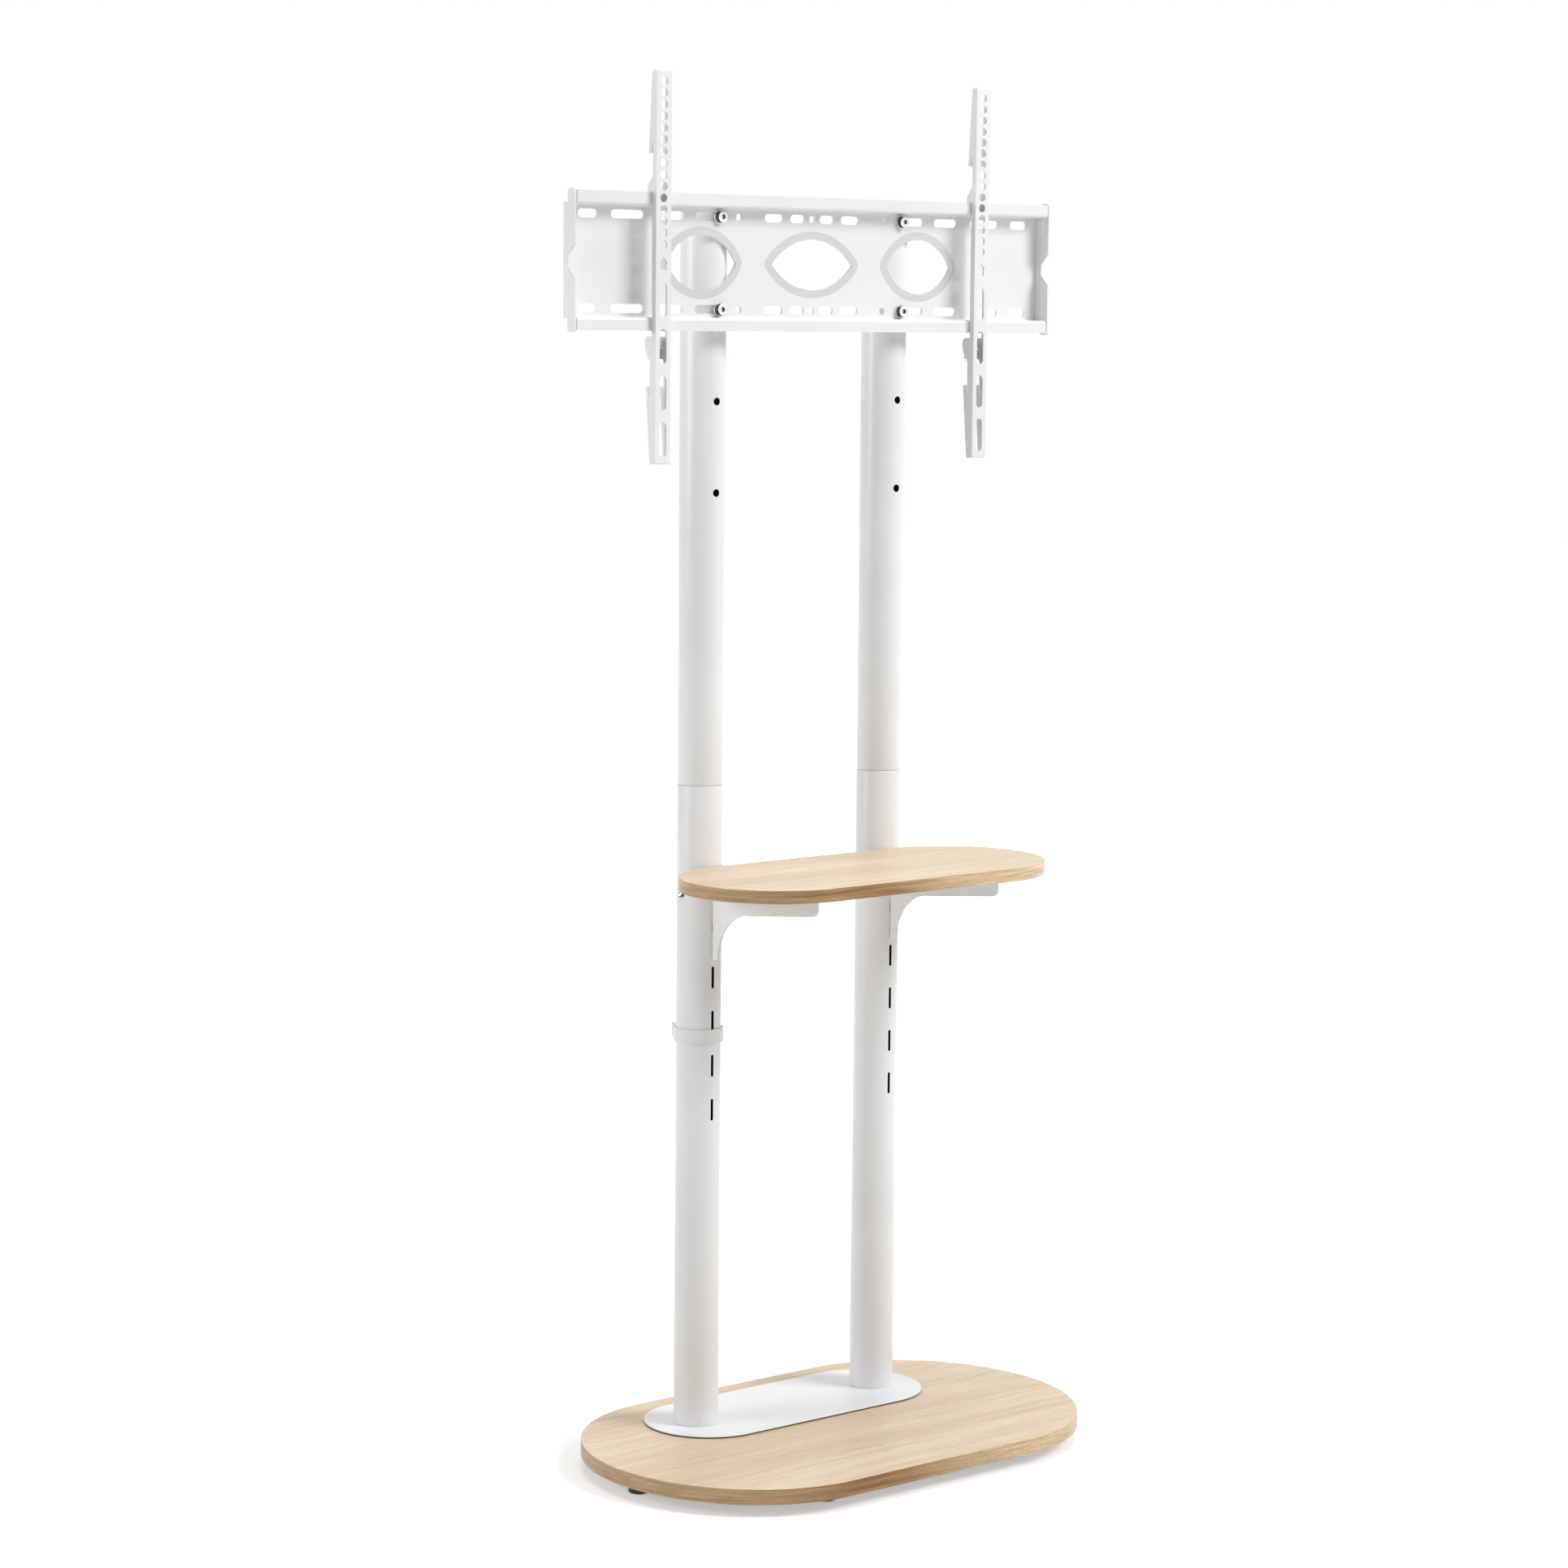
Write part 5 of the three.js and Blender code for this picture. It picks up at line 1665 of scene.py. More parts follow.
@dataclass
class MountPlate(StandPart):
    """The lipped mount plate with its end tabs, slots and eyes, and the bolts that hold it."""

    back: float = 60.3
    length: float = 683
    flange_height: float = 122
    depth: float = 22.5
    bend: float = 2.5
    lip_relief: float = 1.5
    ear_depth: float = 12.5
    ear_overreach: float = 2
    ear_rounding: float = 4
    notch_mouth: float = 35
    notch_floor: float = 12
    notch_depth: float = 11.5
    slot_height: float = 9.5
    hole_radius: float = 4
    hole_offset: float = 104
    rim_width: float = 9
    rim_height: float = 1.4
    rim_ledge: float = 1.6
    rim_root: float = 0.05
    rim_reach: float = 42
    sheet_noise: float = 0.05
    edge_ease: float = 0.35
    washer_radius: float = 7.8
    washer_bore: float = 4.3
    washer_thickness: float = 1.6
    clearance: float = 0.3
    # How far from the middle each slot lies, and its length.
    slots: tuple[Point, ...] = (
        (21, 20.5),
        (54.5, 26),
        (145.5, 38),
        (197.5, 35),
        (257, 44),
        (310, 25.5),
    )
    # Middle, half width and half height of each eye.
    eyes: tuple[Corner, ...] = ((-156.5, 48, 30.5), (0, 58.5, 28), (156.5, 48, 30.5))
    bolt: Fastener = Fastener(
        radius=4, length=19.6, head_radius=6.5, head_height=5, across=5, socket_depth=2.6,
        crown=1.2
    )

    def up(self, outline: Sequence[Point]) -> list[Point]:
        """Lifts an outline from the plate's middle to its level."""
        return [(across, rise + self.mount_level) for across, rise in outline]

    def channel(self) -> Piece:
        """Models the channel with its lips: a bent line, drawn out sideways and thickened.

        Returns:
            The channel.
        """
        half = self.mount_steel / 2
        lip, web = self.back - self.depth + half, self.back - half
        edge, flange = self.mount_height / 2, self.flange_height / 2 - half
        upper = [(web, flange), (lip, flange), (lip, edge)]
        lower = [(across, -rise) for across, rise in reversed(upper)]
        line = self.up(bent_line(lower + upper, self.bend, BEND_STEPS))
        reach = self.length / 2 - self.mount_steel - self.lip_relief
        return sheet("steel_mount_plate", line, Plane.SIDE, -reach, 2 * reach, self.mount_steel)

    def tray(self) -> Piece:
        """Models the sheet whose ends turn forward as tabs.

        Returns:
            The sheet.
        """
        half = self.mount_steel / 2
        end, front, web = self.length / 2 - half, self.back - self.depth, self.back - half
        corners = [(-end, front), (-end, web), (end, web), (end, front)]
        line = bent_line(corners, self.bend, BEND_STEPS)
        low = self.mount_level - self.flange_height / 2
        return sheet("tray", line, Plane.LEVEL, low, self.flange_height, self.mount_steel)

    def ears(self) -> list[Piece]:
        """Models the four ears that close the lips' ends.

        Returns:
            The ears.
        """
        front = self.back - self.depth
        rear, ease = front + self.ear_depth, self.ear_rounding
        ears = []
        for above in (-1, 1):
            tip = above * (self.mount_height / 2 + self.ear_overreach)
            root = above * (self.flange_height / 2 - self.mount_steel)
            corners = [(front, root, 0), (front, tip, ease), (rear, tip, ease), (rear, root, 0)]
            outline = self.up(rounded(corners, BEND_STEPS))
            for start in (-self.length / 2, self.length / 2 - self.mount_steel):
                ears.append(slab("ear", outline, Plane.SIDE, start, self.mount_steel))
        return ears

    def rims(self) -> list[Piece]:
        """Models the pressed rims: each rises in a shallow slope from the web to its eye.

        They start a little inside the web, so that no two faces lie in one plane.

        Returns:
            The rims.
        """
        rims = []
        start, thickness = self.rim_root - self.back, self.mount_steel - 2 * self.rim_root
        for middle, half_width, half_height in self.eyes:
            outline = self.up(eye_outline(middle, half_width, half_height, self.rim_width))
            rim = slab("rim", outline, Plane.FRONT, start, thickness)
            start_edit(rim)
            pick(rim, Element.FACE, lambda place, normal: normal.y < -ALONG)
            slope = (self.rim_width - self.rim_ledge) * MM
            rise = (self.rim_height + self.rim_root) * MM
            bpy.ops.mesh.inset(thickness=slope, depth=rise)
            end_edit()
            rims.append(rim)
        return rims

    def openings(self) -> list[Piece]:
        """Models the tools for everything that pierces the web and the end tabs.

        Returns:
            The tools.
        """
        tools = []
        start, depth = -self.back - 2 * OVERSHOOT, self.depth
        row = self.mount_pitch / 2
        for offset, length in self.slots:
            outline = self.up(slot_outline((offset, row), length, self.slot_height))
            pattern = slab("slot", outline, Plane.FRONT, start, depth)
            tools.append(pattern)
            for across, down in ((0, 1), (1, 0), (1, 1)):
                move = (-2 * offset * across, 0, -self.mount_pitch * down)
                tools.append(copy_of(pattern, "slot", move))
        for across in (-self.hole_offset, 0, self.hole_offset):
            for rise in (-row, row):
                place = (across, self.mount_level + rise, start)
                tools.append(rod("hole", Plane.FRONT, place, self.hole_radius, depth, HOLE_STEPS))
        for middle, half_width, half_height in self.eyes:
            outline = self.up(eye_outline(middle, half_width, half_height))
            tools.append(slab("eye", outline, Plane.FRONT, start, depth))
        front, floor = self.back - self.depth, self.notch_floor / 2
        near, far = front - OVERSHOOT, front + self.notch_depth
        mouth = self.notch_mouth / 2 + OVERSHOOT
        notch = self.up([(near, -mouth), (far, -floor), (far, floor), (near, mouth)])
        thickness = self.mount_steel + 2 * OVERSHOOT
        for outer in (-self.length / 2, self.length / 2 - self.mount_steel):
            tools.append(slab("notch", notch, Plane.SIDE, outer - OVERSHOOT, thickness))
        return tools

    def plate(self) -> Piece:
        """Models the whole plate.

        Returns:
            The plate.
        """
        plate = self.channel()
        carve(plate, [self.tray(), *self.ears(), *self.rims()], Cut.TOGETHER)
        carve(plate, self.openings())
        return ease_edges(plate, self.edge_ease)

    def on_rim(self, centre: Vector, normal: Vector) -> bool:
        """Tells whether a face belongs to the raised band round an eye.

        Args:
            centre: The face's middle, in metres.
            normal: The face's normal.

        Returns:
            Whether it does.
        """
        web = (self.back - self.mount_steel) * MM
        raised = web - 2 * self.rim_height * MM < centre.y < web - self.sheet_noise * MM
        near = abs(centre.z - self.mount_level * MM) < self.rim_reach * MM
        return raised and near and normal.y < -FACING

    def build(self, shop: Paintshop, nodes: dict[str, Piece]) -> None:
        """Builds and dresses the plate and its bolts.

        Args:
            shop: The finishes.
            nodes: The CAD nodes by name. Not used.
        """
        plate = shop.dress(self.plate(), Finish.WHITE_STEEL, "stand", "mount_plate")
        # Painted shade: a greyer coat on the pressed bands round the eyes.
        shop.accent(plate, Accent.RIM_SHADE, self.on_rim)
        bolt_pattern = self.bolt.build("mount_bolt")
        thickness = self.washer_thickness
        ring_pattern = washer("mount_washer", self.washer_radius, self.washer_bore, thickness)
        web = self.back - self.mount_steel - self.clearance
        seat = web - thickness - self.clearance
        for side, name in SIDE_NAMES.items():
            for row, above in (("upper", 1), ("lower", -1)):
                across = side * self.spacing / 2
                level = self.mount_level + above * self.mount_pitch / 2
                ring = copy_of(ring_pattern, f"{name}_{row}_washer")
                stood(ring, Plane.FRONT, (across, web, level))
                shop.dress(ring, Finish.ZINC, "stand", f"{name}_{row}_mount_washer")
                bolt = copy_of(bolt_pattern, f"{name}_{row}_socket_bolt")
                bolt.rotation_euler = (-math.pi / 2, 0, 0)
                bolt.location = Vector((across, seat, level)) * MM
                shop.dress(settle(bolt), Finish.ZINC, "stand", f"{name}_{row}_mount_bolt")
                # Painted shade on each bolt head's flank.
                shop.accent(bolt, Accent.KNURLED, lambda centre, normal: abs(normal.y) < FACING)
        discard(bolt_pattern, ring_pattern)


@dataclass(frozen=True)
class WallHalf:
    """Depths of the side walls in the upper or the lower half of a television arm."""

    end_depth: float
    horn_depth: float
    horn_inset: float
    neck_depth: float


@dataclass
class TelevisionArm(StandPart):
    """A television arm: a hooked channel with its lock tab and lock screw."""

    side: int
    offset: float = 229
    front: float = 30.5
    top: float = 1540
    bottom: float = 1122
    width: float = 20.6
    steel: float = 2
    bend: float = 3
    standoff: float = 7.3
    upper_half: WallHalf = WallHalf(end_depth=8, horn_depth=13.5, horn_inset=87.5, neck_depth=6.5)
    lower_half: WallHalf = WallHalf(end_depth=10, horn_depth=17, horn_inset=83, neck_depth=10)
    slit_depth: float = 10
    slit_width: float = 1.6
    horn_rounding: float = 1
    end_rounding: float = 3
    hook_depth: float = 15
    hook_rise: float = 17
    hook_shoulder: float = 7
    hook_finger: float = 8
    fit: float = 0.3
    lobe_depth: float = 19
    lobe_drop: float = 6
    lobe_height: float = 27
    lobe_rounding: float = 6
    hole_radius: float = 4.7
    hole_pitch: float = 12.32
    hole_count: int = 15
    first_hole: float = 11.3
    slot_length: float = 37
    slot_pitch: float = 49.6
    slot_count: int = 4
    last_slot: float = 26.4
    tab_leg: float = 12
    tab_depth: float = 12.5
    tab_drop: float = 18
    screw_setback: float = 14.2
    screw_drop: float = 7.5
    screw_bore: float = 2.95
    arrow_top: float = 1343
    arrow_width: float = 11.5
    arrow_height: float = 14
    arrow_stem: float = 0.66
    arrow_head: float = 0.45
    bore_start: float = 4
    bore_depth: float = 10
    edge_ease: float = 0.3
    screw: Fastener = Fastener(
        radius=2.7, length=34, head_radius=4.5, head_height=5, across=4, socket_depth=2.5,
        crown=0.8, pitch=0.9, thread_depth=0.25
    )

    @property
    def name(self) -> str:
        """The arm's side as a word."""
        return SIDE_NAMES[self.side]

    @property
    def middle(self) -> float:
        """The arm's place across the stand."""
        return self.side * self.offset

    def horn(self, half: WallHalf, end: float, inwards: int) -> list[Corner]:
        """Gives the wall's corners from one end of the arm, past its horn, to the neck.

        Args:
            half: The depths of that half.
            end: The level of the arm's end, from the mount's centre.
            inwards: 1 for a half that runs upwards from its end, -1 for the other.

        Returns:
            Corners as depth, level and rounding.
        """
        tip = end + inwards * half.horn_inset
        slit_end = tip - inwards * self.slit_depth
        finger = half.neck_depth + self.slit_width
        return [
            (half.end_depth, end, self.end_rounding),
            (half.horn_depth, tip, self.horn_rounding),
            (finger, tip, self.horn_rounding),
            (finger, slit_end, 0),
            (half.neck_depth, slit_end, 0),
        ]

    def wall_outline(self) -> list[Point]:
        """Gives the side wall's outline, with its horns, hook and lobe.

        Returns:
            The outline, by depth and level in the stand.
        """
        top, bottom = self.top - self.mount_level, self.bottom - self.mount_level
        lip_top = self.mount_height / 2 + self.fit
        lip_front = self.standoff - self.fit
        lip_back = self.standoff + self.mount_steel + self.fit
        hook_bottom = lip_top - self.hook_finger
        lobe_top = -self.mount_height / 2 - self.lobe_drop
        lobe_bottom = lobe_top - self.lobe_height
        outline = rounded(
            [
                (0, bottom, self.steel),
                *self.horn(self.lower_half, bottom, 1),
                (self.lower_half.neck_depth, lobe_bottom, 0),
                (self.lobe_depth, lobe_bottom + self.lobe_height / 2, self.lobe_rounding),
                (self.lobe_depth, lobe_top, self.lobe_rounding),
                (lip_front, lobe_top, 0),
                (lip_front, lip_top, 0),
                (lip_back, lip_top, 0),
                (lip_back, hook_bottom, 0),
                (self.hook_depth, hook_bottom, 0),
                (self.hook_depth, lip_top + self.hook_shoulder, self.end_rounding),
                (self.upper_half.neck_depth, lip_top + self.hook_rise, 0),
                *reversed(self.horn(self.upper_half, top, -1)),
                (0, top, self.steel),
            ],
            BEND_STEPS,
        )
        return [(self.front + depth, self.mount_level + rise) for depth, rise in outline]

    def arrow_outline(self) -> list[Point]:
        """Gives the plain arrow that shows which end goes up.

        Returns:
            The outline, round the arm's middle.
        """
        half, top = self.arrow_width / 2, self.arrow_top
        stem, neck = half * self.arrow_stem, top - self.arrow_height * self.arrow_head
        foot = top - self.arrow_height
        points = [(0, top), (half, neck), (stem, neck), (stem, foot)]
        return points + [(-across, up) for across, up in reversed(points[1:])]

    def front_corner(self, middle: Vector, direction: Vector) -> bool:
        """Tells whether an edge is one of the long front corners."""
        off = max(abs(abs(middle.x) - self.width / 2), abs(middle.y - self.front))
        return off < LEVEL_TOLERANCE and abs(direction.z) > ALONG

    def hollow(self) -> Piece:
        """Models the space between the walls.

        Returns:
            The space, as a solid.
        """
        inner, face = self.width / 2 - self.steel, self.front + self.steel
        bend, back = self.bend - self.steel, self.front + self.lobe_depth + 2 * OVERSHOOT
        corners = [(-inner, face, bend), (inner, face, bend), (inner, back, 0), (-inner, back, 0)]
        height = self.top - self.bottom + 2 * OVERSHOOT
        plan = rounded(corners, steps=3)
        return slab("hollow", plan, Plane.LEVEL, self.bottom - OVERSHOOT, height)

    def channel(self) -> Piece:
        """Models the arm: the wall outline drawn out, its bends rounded, hollowed and pierced.

        Returns:
            The arm, in the middle of the stand.
        """
        arm = slab("arm", self.wall_outline(), Plane.SIDE, -self.width / 2, self.width)
        bevel_edges(arm, self.bend, BEND_STEPS, self.front_corner)
        carve(arm, [self.hollow()])
        start, depth = -self.front - self.steel - self.bore_start, self.bore_depth
        tools = []
        for index in range(self.hole_count):
            place = (0, self.top - self.first_hole - index * self.hole_pitch, start)
            tools.append(rod("hole", Plane.FRONT, place, self.hole_radius, depth, HOLE_STEPS))
        lowest = (0, self.bottom + self.last_slot)
        outline = slot_outline(lowest, 2 * self.hole_radius, self.slot_length)
        slot = slab("slot", outline, Plane.FRONT, start, depth)
        tools += row_of(slot, self.slot_count, self.slot_pitch)
        tools.append(slab("arrow", self.arrow_outline(), Plane.FRONT, start, depth))
        return ease_edges(carve(arm, tools), self.edge_ease)

    def tab(self) -> Piece:
        """Models the lock tab: a bent bridge between the walls, bored for the lock screw.

        Returns:
            The tab, in the middle of the stand.
        """
        half = self.width / 2 - self.steel - self.fit - self.steel / 2
        level = self.mount_level - self.mount_height / 2 - self.tab_drop
        foot = level - self.tab_leg
        line = bent_line(
            [(-half, foot), (-half, level), (half, level), (half, foot)], self.steel, CORNER_STEPS
        )
        start = self.fit - self.front - self.lobe_depth
        tab = sheet("tab", line, Plane.FRONT, start, self.tab_depth, self.steel)
        place = (0, self.front + self.screw_setback, level - self.steel * 2)
        bore = rod("bore", Plane.LEVEL, place, self.screw_bore, self.steel * 4, HOLE_STEPS)
        return ease_edges(carve(tab, [bore]), self.edge_ease)

    def build(self, shop: Paintshop) -> None:
        """Builds and dresses the arm.

        Args:
            shop: The finishes.
        """
        name, move = self.name, (self.middle, 0, 0)
        arm, tab, screw = self.channel(), self.tab(), self.screw.build("lock_screw")
        below = self.mount_level - self.mount_height / 2
        level = below - self.screw_drop - self.screw.length
        place = (self.middle, self.front + self.screw_setback, level)
        placed = copy_of(arm, f"{name}_arm_channel", move)
        shop.dress(placed, Finish.WHITE_STEEL, f"{name}_arm", f"{name}_television_arm")
        placed = copy_of(tab, f"{name}_arm_bridge", move)
        shop.dress(placed, Finish.WHITE_STEEL, f"{name}_arm", f"{name}_lock_tab")
        placed = copy_of(screw, f"{name}_locking_screw", place)
        shop.dress(placed, Finish.DARK_STEEL, f"{name}_lock_screw", f"{name}_lock_screw")
        discard(arm, tab, screw)


@dataclass
class Shelf(StandPart):
    """The oak shelf with the two brackets that hook into the columns."""

    width: float = 470
    depth: float = 208
    thickness: float = 15
    underside: float = 659.5
    centre: float = -45.4
    edge_ease: float = 1.0
    steel: float = 3
    fit: float = 0.3
    reach: float = 181
    end_height: float = 20
    end_rounding: float = 8
    height: float = 90
    tip_width: float = 9
    throat_reach: float = 66.5
    throat_drop: float = 33.5
    flange_width: float = 22
    flange_start: float = 10
    top_slot: float = 649
    slot_pitch: float = 50
    hook_drop_in_slot: float = 11.3514
    neck_height: float = 12.5
    hook_drop: float = 9
    hook_thickness: float = 6
    tongue_reach: float = 6
    screw_reaches: Point = (45, 145)
    screw_hole: float = 2.2
    screw_gap: float = 0.2
    pilot_depth: float = 10.2
    pilot_steps: int = 16
    way_steps: int = 24
    edge_width: float = 0.4
    rim_steps: int = 44
    throat_steps: int = 24
    screw: Fastener = Fastener(
        radius=2, length=13, head_radius=4, head_height=2.2, across=2, socket_depth=1.1,
        crown=0.9, pitch=1.2, thread_depth=0.3
    )

    def board(self) -> Piece:
        """Models the shelf board, with pilot holes for its screws.

        Returns:
            The board.
        """
        outline = oval((0, self.centre), self.width, self.depth, self.depth / 2, self.rim_steps)
        board = slab("oak_shelf_board", outline, Plane.LEVEL, self.underside, self.thickness)
        for above in (False, True):
            round_rims(board, self.edge_ease, above)
        depth = self.pilot_depth + OVERSHOOT
        for x, y in self.screw_places().values():
            place = (x, y, self.underside - OVERSHOOT)
            pilot = rod("pilot", Plane.LEVEL, place, self.screw_hole, depth, self.pilot_steps)
            carve(board, [pilot])
        return smooth(board, weighted=True)

    def screw_places(self) -> dict[str, Point]:
        """Gives the place of each shelf screw by its name.

        Returns:
            Places across and back in the stand.
        """
        places = {}
        for side, name in SIDE_NAMES.items():
            for row, reach in zip(("back", "front"), self.screw_reaches):
                x = side * (self.spacing - self.flange_width) / 2
                places[f"{name}_shelf_screw_{row}"] = (x, self.setback - self.tube_radius - reach)
        return places

    def blade_outline(self) -> list[Point]:
        """Gives the bracket's blade: straight under the shelf, with a deep curved throat.

        Returns:
            The outline, from the column's axis and the shelf's underside.
        """
        back = -self.tube_radius - self.fit
        front = back - self.reach
        throat = back - self.throat_reach
        tip = back - self.tip_width
        corners = [
            (front, 0, 0),
            (front, -self.end_height, self.end_rounding),
            (throat, -self.throat_drop, 0),
        ]
        corner = rounded(corners, BEND_STEPS)
        sweep = (tip - throat, self.height - self.throat_drop)
        curve = arc((throat, -self.height), sweep, 90, 0, self.throat_steps)
        return [(back, 0), *corner[:-1], *curve, (back, -self.height)]

    def hook_outline(self, slot_level: float, reach: float) -> list[Point]:
        """Gives a hook that passes a slot and drops behind the tube's wall.

        Args:
            slot_level: The slot's middle.
            reach: How far the neck goes in, from the column's axis.

        Returns:
            The outline, from the column's axis and the shelf's underside.
        """
        low = slot_level - self.hook_drop_in_slot - self.underside
        high = low + self.neck_height
        outside = -self.tube_radius - self.fit - self.steel
        inside = -self.tube_radius + self.tube_wall + self.fit
        end = inside + self.hook_thickness
        return [
            (outside, low),
            (inside, low),
            (inside, low - self.hook_drop),
            (end, low - self.hook_drop),
            (end, low),
            (reach, low),
            (reach, high),
            (outside, high),
        ]

    def bracket(self) -> Piece:
        """Models the left bracket: blade, tongue, hook and the flange under the shelf.

        Returns:
            The bracket, in its place.
        """
        start = -self.spacing / 2 - self.steel / 2

        def part(name: str, outline: Iterable[Point]) -> Piece:
            """Models an upright part of the bracket from its outline."""
            moved = [(along + self.setback, up + self.underside) for along, up in outline]
            return slab(name, moved, Plane.SIDE, start, self.steel)

        blade = part("left_bracket", self.blade_outline())
        tongue = self.hook_outline(self.top_slot, self.tongue_reach)
        neck_end = -self.tube_radius + self.tube_wall + self.hook_thickness
        hook = self.hook_outline(self.top_slot - self.slot_pitch, neck_end)
        near = self.setback - self.tube_radius - self.fit - self.flange_start
        flange = block(
            "flange",
            (start, near - self.reach + self.flange_start, self.underside - self.steel),
            (start + self.flange_width, near, self.underside),
        )
        carve(blade, [part("tongue", tongue), part("hook", hook), flange], Cut.TOGETHER)
        low, depth = self.underside - self.steel - OVERSHOOT, self.steel + 2 * OVERSHOOT
        tools = [
            rod("way", Plane.LEVEL, (x, y, low), self.screw_hole, depth, self.way_steps)
            for name, (x, y) in self.screw_places().items()
            if name.startswith("left")
        ]
        return ease_edges(carve(blade, tools), self.edge_width)

    def build(self, shop: Paintshop) -> None:
        """Builds and dresses the shelf.

        Args:
            shop: The finishes.
        """
        board = shop.dress(self.board(), Finish.OAK, "shelf", "shelf_board")
        shop.accent(board, Accent.EDGING, on_edge)
        left = self.bracket()
        right = smooth(copy_of(left, "right_bracket", mirrored=True), weighted=True)
        for side, bracket in (("left", left), ("right", right)):
            shop.dress(bracket, Finish.WHITE_STEEL, "shelf", f"{side}_shelf_bracket")
        pattern = self.screw.build("shelf_screw")
        level = self.underside - self.steel - self.screw_gap
        for name, (x, y) in self.screw_places().items():
            screw = copy_of(pattern, f"{name}_detailed", (x, y, level))
            shop.dress(screw, Finish.ZINC, "shelf", name)
        discard(pattern)


@dataclass
class CableClip(StandPart):
    """The spring clip on the left column, with an open loop for cables behind it."""

    level: float = 474.75
    height: float = 15.5
    wall: float = 2.6
    fit: float = 0.3
    gap: float = 9
    slit_margin: float = 0.5
    loop_radius: float = 9
    loop_mouth: float = 7
    edge_ease: float = 1.0
    steps: int = 96

    def clip(self) -> Piece:
        """Models the clip: two rings made one, bored and slit open at the back.

        Returns:
            The clip, in its place.
        """
        x, y = -self.spacing / 2, self.setback
        inner = self.tube_radius + self.fit
        outer, small = inner + self.wall, self.loop_radius
        loop = y + outer + small - self.wall
        low, tall = self.level, self.height
        clip = rod("white_cable_clip", Plane.LEVEL, (x, y, low), outer, tall, self.steps)
        ring = rod("loop", Plane.LEVEL, (x, loop, low), small, tall, ROUND_STEPS)
        carve(clip, [ring], Cut.TOGETHER)
        start, end, depth = low - OVERSHOOT, low + tall + OVERSHOOT, tall + 2 * OVERSHOOT
        bores = (
            ("bore", y, inner, self.steps),
            ("loop_bore", loop, small - self.wall, ROUND_STEPS),
        )
        for name, back, radius, steps in bores:
            carve(clip, [rod(name, Plane.LEVEL, (x, back, start), radius, depth, steps)])
        middle, reach = y + inner + self.wall / 2, self.wall + self.slit_margin
        cuts = (
            ("slit", self.gap / 2, middle, reach),
            ("mouth", self.loop_mouth / 2, loop + small, small / 2),
        )
        for name, half, back, reach in cuts:
            box = block(name, (x - half, back - reach, start), (x + half, back + reach, end))
            carve(clip, [box])
        return ease_edges(clip, self.edge_ease, steps=3)

    def build(self, shop: Paintshop) -> None:
        """Builds and dresses the clip."""
        shop.dress(self.clip(), Finish.WHITE_PLASTIC, "cable_clip", "cable_clip")


# Studio


@dataclass(frozen=True)
class Lamp:
    """A large soft lamp."""

    name: str
    place: Corner
    target: Corner
    size: float
    power: float

    def hang(self) -> None:
        """Adds the lamp, turned towards its target."""
        data = bpy.data.lights.new(self.name, "AREA")
        data.shape = "SQUARE"
        data.size = self.size
        data.energy = self.power
        lamp = bpy.data.objects.new(self.name, data)
        bpy.context.scene.collection.objects.link(lamp)
        lamp.location = self.place
        aim = Vector(self.target) - Vector(self.place)
        lamp.rotation_euler = aim.to_track_quat("-Z", "Y").to_euler()


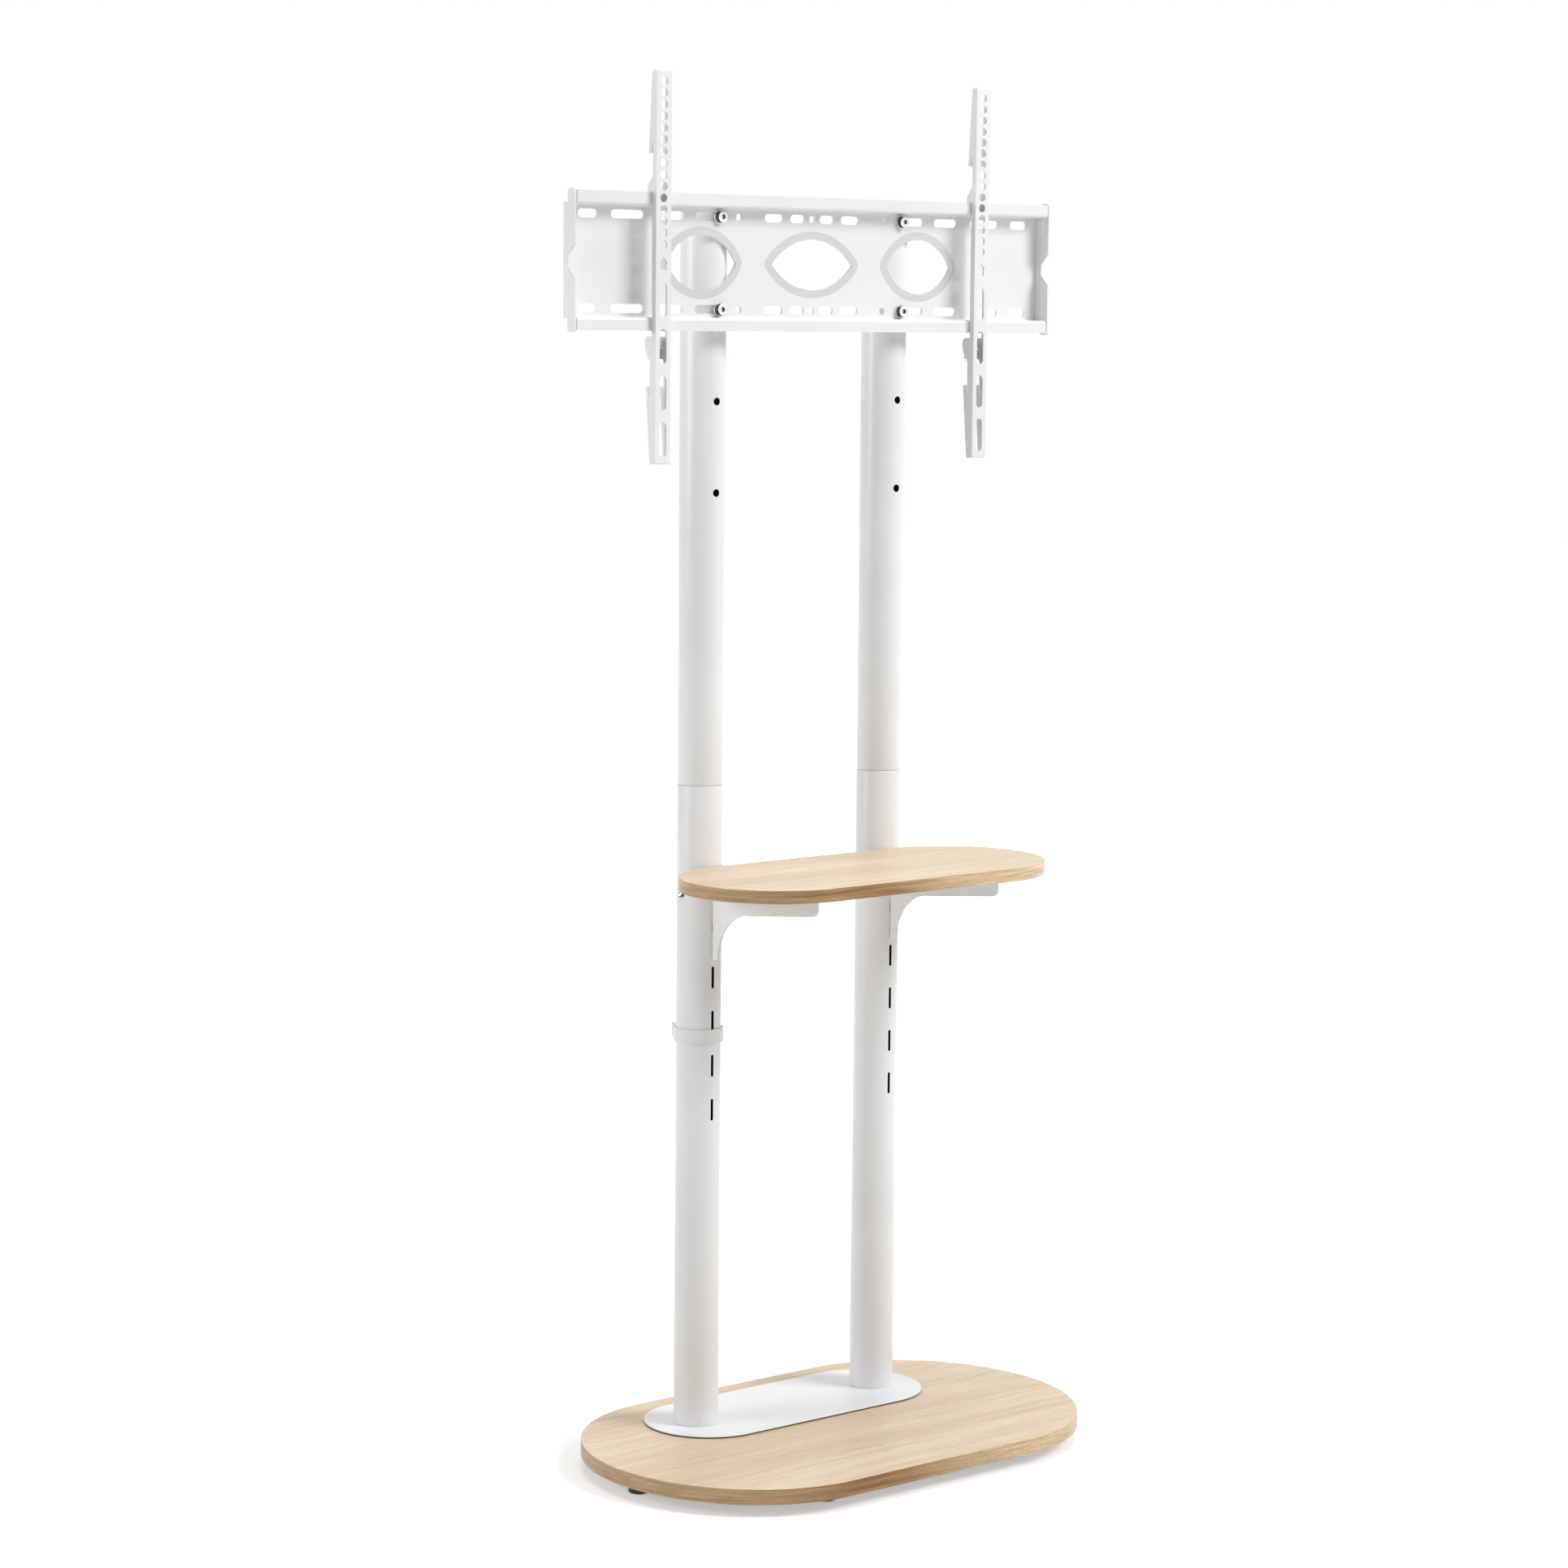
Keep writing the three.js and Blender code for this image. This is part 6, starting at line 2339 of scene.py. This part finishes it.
@dataclass
class Studio:
    """Camera, lamps, pale floor and white surroundings."""

    eye: Corner = (-2831.42, -3343.38, 1281.08)
    yaw: float = 0.68852
    pitch: float = -0.12477
    roll: float = 0.00945
    focal_pixels: float = 4863.76
    frame_pixels: float = 1932
    axis_row: float = 1000
    sensor: float = 36
    floor_size: float = 30
    floor_colour: str = "dadad9"
    floor_lift: float = 0.42
    floor_fade: Point = (0.6, 2.0)
    floor_roughness: float = 0.9
    floor_drop: float = 0.2
    view_end: float = 100
    sky_light: float = 0.25
    lamps: tuple[Lamp, ...] = (
        Lamp("key_lamp", (2.85, -4.2, 4.8), (0, 0, 0.7), size=2.7, power=292),
        Lamp("strip_lamp", (-3.0, 0.95, 1.7), (0, 0, 0.8), size=1.4, power=36),
        Lamp("top_lamp", (0.2, -0.2, 14.0), (0, 0, 0.3), size=8.2, power=740),
    )

    def camera(self) -> None:
        """Sets up the camera at the photograph's viewing angle."""
        scene = bpy.context.scene
        data = bpy.data.cameras.new("photo_camera")
        data.sensor_width = self.sensor
        data.sensor_fit = "HORIZONTAL"
        data.lens = self.focal_pixels / self.frame_pixels * self.sensor
        data.shift_y = (self.axis_row - self.frame_pixels / 2) / self.frame_pixels
        data.clip_end = self.view_end
        camera = bpy.data.objects.new("photo_camera", data)
        scene.collection.objects.link(camera)
        ahead = Vector(
            (
                math.sin(self.yaw) * math.cos(self.pitch),
                math.cos(self.yaw) * math.cos(self.pitch),
                math.sin(self.pitch),
            )
        )
        level = Vector((math.cos(self.yaw), -math.sin(self.yaw), 0))
        up = level.cross(ahead)
        right = level * math.cos(self.roll) + up * math.sin(self.roll)
        top = up * math.cos(self.roll) - level * math.sin(self.roll)
        turn = Matrix((right, top, -ahead)).transposed().to_4x4()
        camera.matrix_world = Matrix.Translation(Vector(self.eye) * MM) @ turn
        scene.camera = camera

    def seen(self, tree: bpy.types.NodeTree, *rays: str) -> bpy.types.NodeSocket:
        """Gives 1 for the kinds of ray named, and 0 for the rest.

        Args:
            tree: The node tree.
            *rays: The kinds of ray, as the light path node names them.

        Returns:
            The socket that gives it.
        """
        path = add_node(tree, "ShaderNodeLightPath")
        total = path.outputs[rays[0]]
        for ray in rays[1:]:
            both = {0: total, 1: path.outputs[ray]}
            total = add_node(tree, "ShaderNodeMath", both, operation="MAXIMUM").outputs[0]
        return total

    def surroundings(self) -> None:
        """Lights the room evenly, and shows it white to the camera and in reflections."""
        world = bpy.data.worlds.new("white_room")
        bpy.context.scene.world = world
        world.use_nodes = True
        tree = world.node_tree
        seen = self.seen(tree, "Is Camera Ray", "Is Glossy Ray", "Is Transmission Ray")
        share = {"Value": seen, **from_to((0, 1), (self.sky_light, 1.0))}
        strength = add_node(tree, "ShaderNodeMapRange", share)
        feed(tree, tree.nodes["Background"], {"Color": WHITE, "Strength": strength})

    def floor(self) -> None:
        """Lays a pale floor that keeps the object's shadow and reads as white elsewhere."""
        bpy.ops.object.select_all(action="DESELECT")
        drop = (0, 0, -self.floor_drop * MM)
        bpy.ops.mesh.primitive_plane_add(size=self.floor_size, location=drop)
        floor = settle(bpy.context.object)
        floor.name = "studio_floor"
        material, tree, shader = new_material("pale_floor")
        shown = self.seen(tree, "Is Camera Ray", "Is Glossy Ray")
        place = add_node(tree, "ShaderNodeTexCoord").outputs["Object"]
        reach = add_node(tree, "ShaderNodeVectorMath", {0: place}, operation="LENGTH")
        fade = {
            "Value": reach.outputs["Value"],
            **from_to(self.floor_fade, (self.floor_lift, 1)),
        }
        glow = {0: shown, 1: add_node(tree, "ShaderNodeMapRange", fade)}
        feeds = {
            "Base Color": linear(self.floor_colour),
            "Roughness": self.floor_roughness,
            "Specular IOR Level": 0.0,
            "Emission Color": WHITE,
            "Emission Strength": add_node(tree, "ShaderNodeMath", glow, operation="MULTIPLY"),
        }
        feed(tree, shader, feeds)
        floor.data.materials.append(material)

    def build(self) -> None:
        """Builds the whole studio."""
        bpy.context.scene.view_settings.view_transform = "Standard"
        self.camera()
        self.surroundings()
        for lamp in self.lamps:
            lamp.hang()
        self.floor()


def corners(box: tuple[Vector, Vector]) -> list[list[float]]:
    """Turns a box into plain lists of numbers."""
    return [list(map(float, corner)) for corner in box]


def main() -> None:
    """Builds the stand round its frame and reports each piece."""
    logging.basicConfig(level=logging.INFO, format="%(name)s: %(message)s")
    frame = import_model()
    nodes = frame["nodes"]
    Studio().build()
    shop = Paintshop()
    Base().build(shop, nodes)
    for side in SIDE_NAMES:
        Column(side).build(shop, nodes)
    MountPlate().build(shop, nodes)
    for side in SIDE_NAMES:
        TelevisionArm(side).build(shop)
    Shelf().build(shop)
    CableClip().build(shop)


if __name__ == "__main__":
    main()
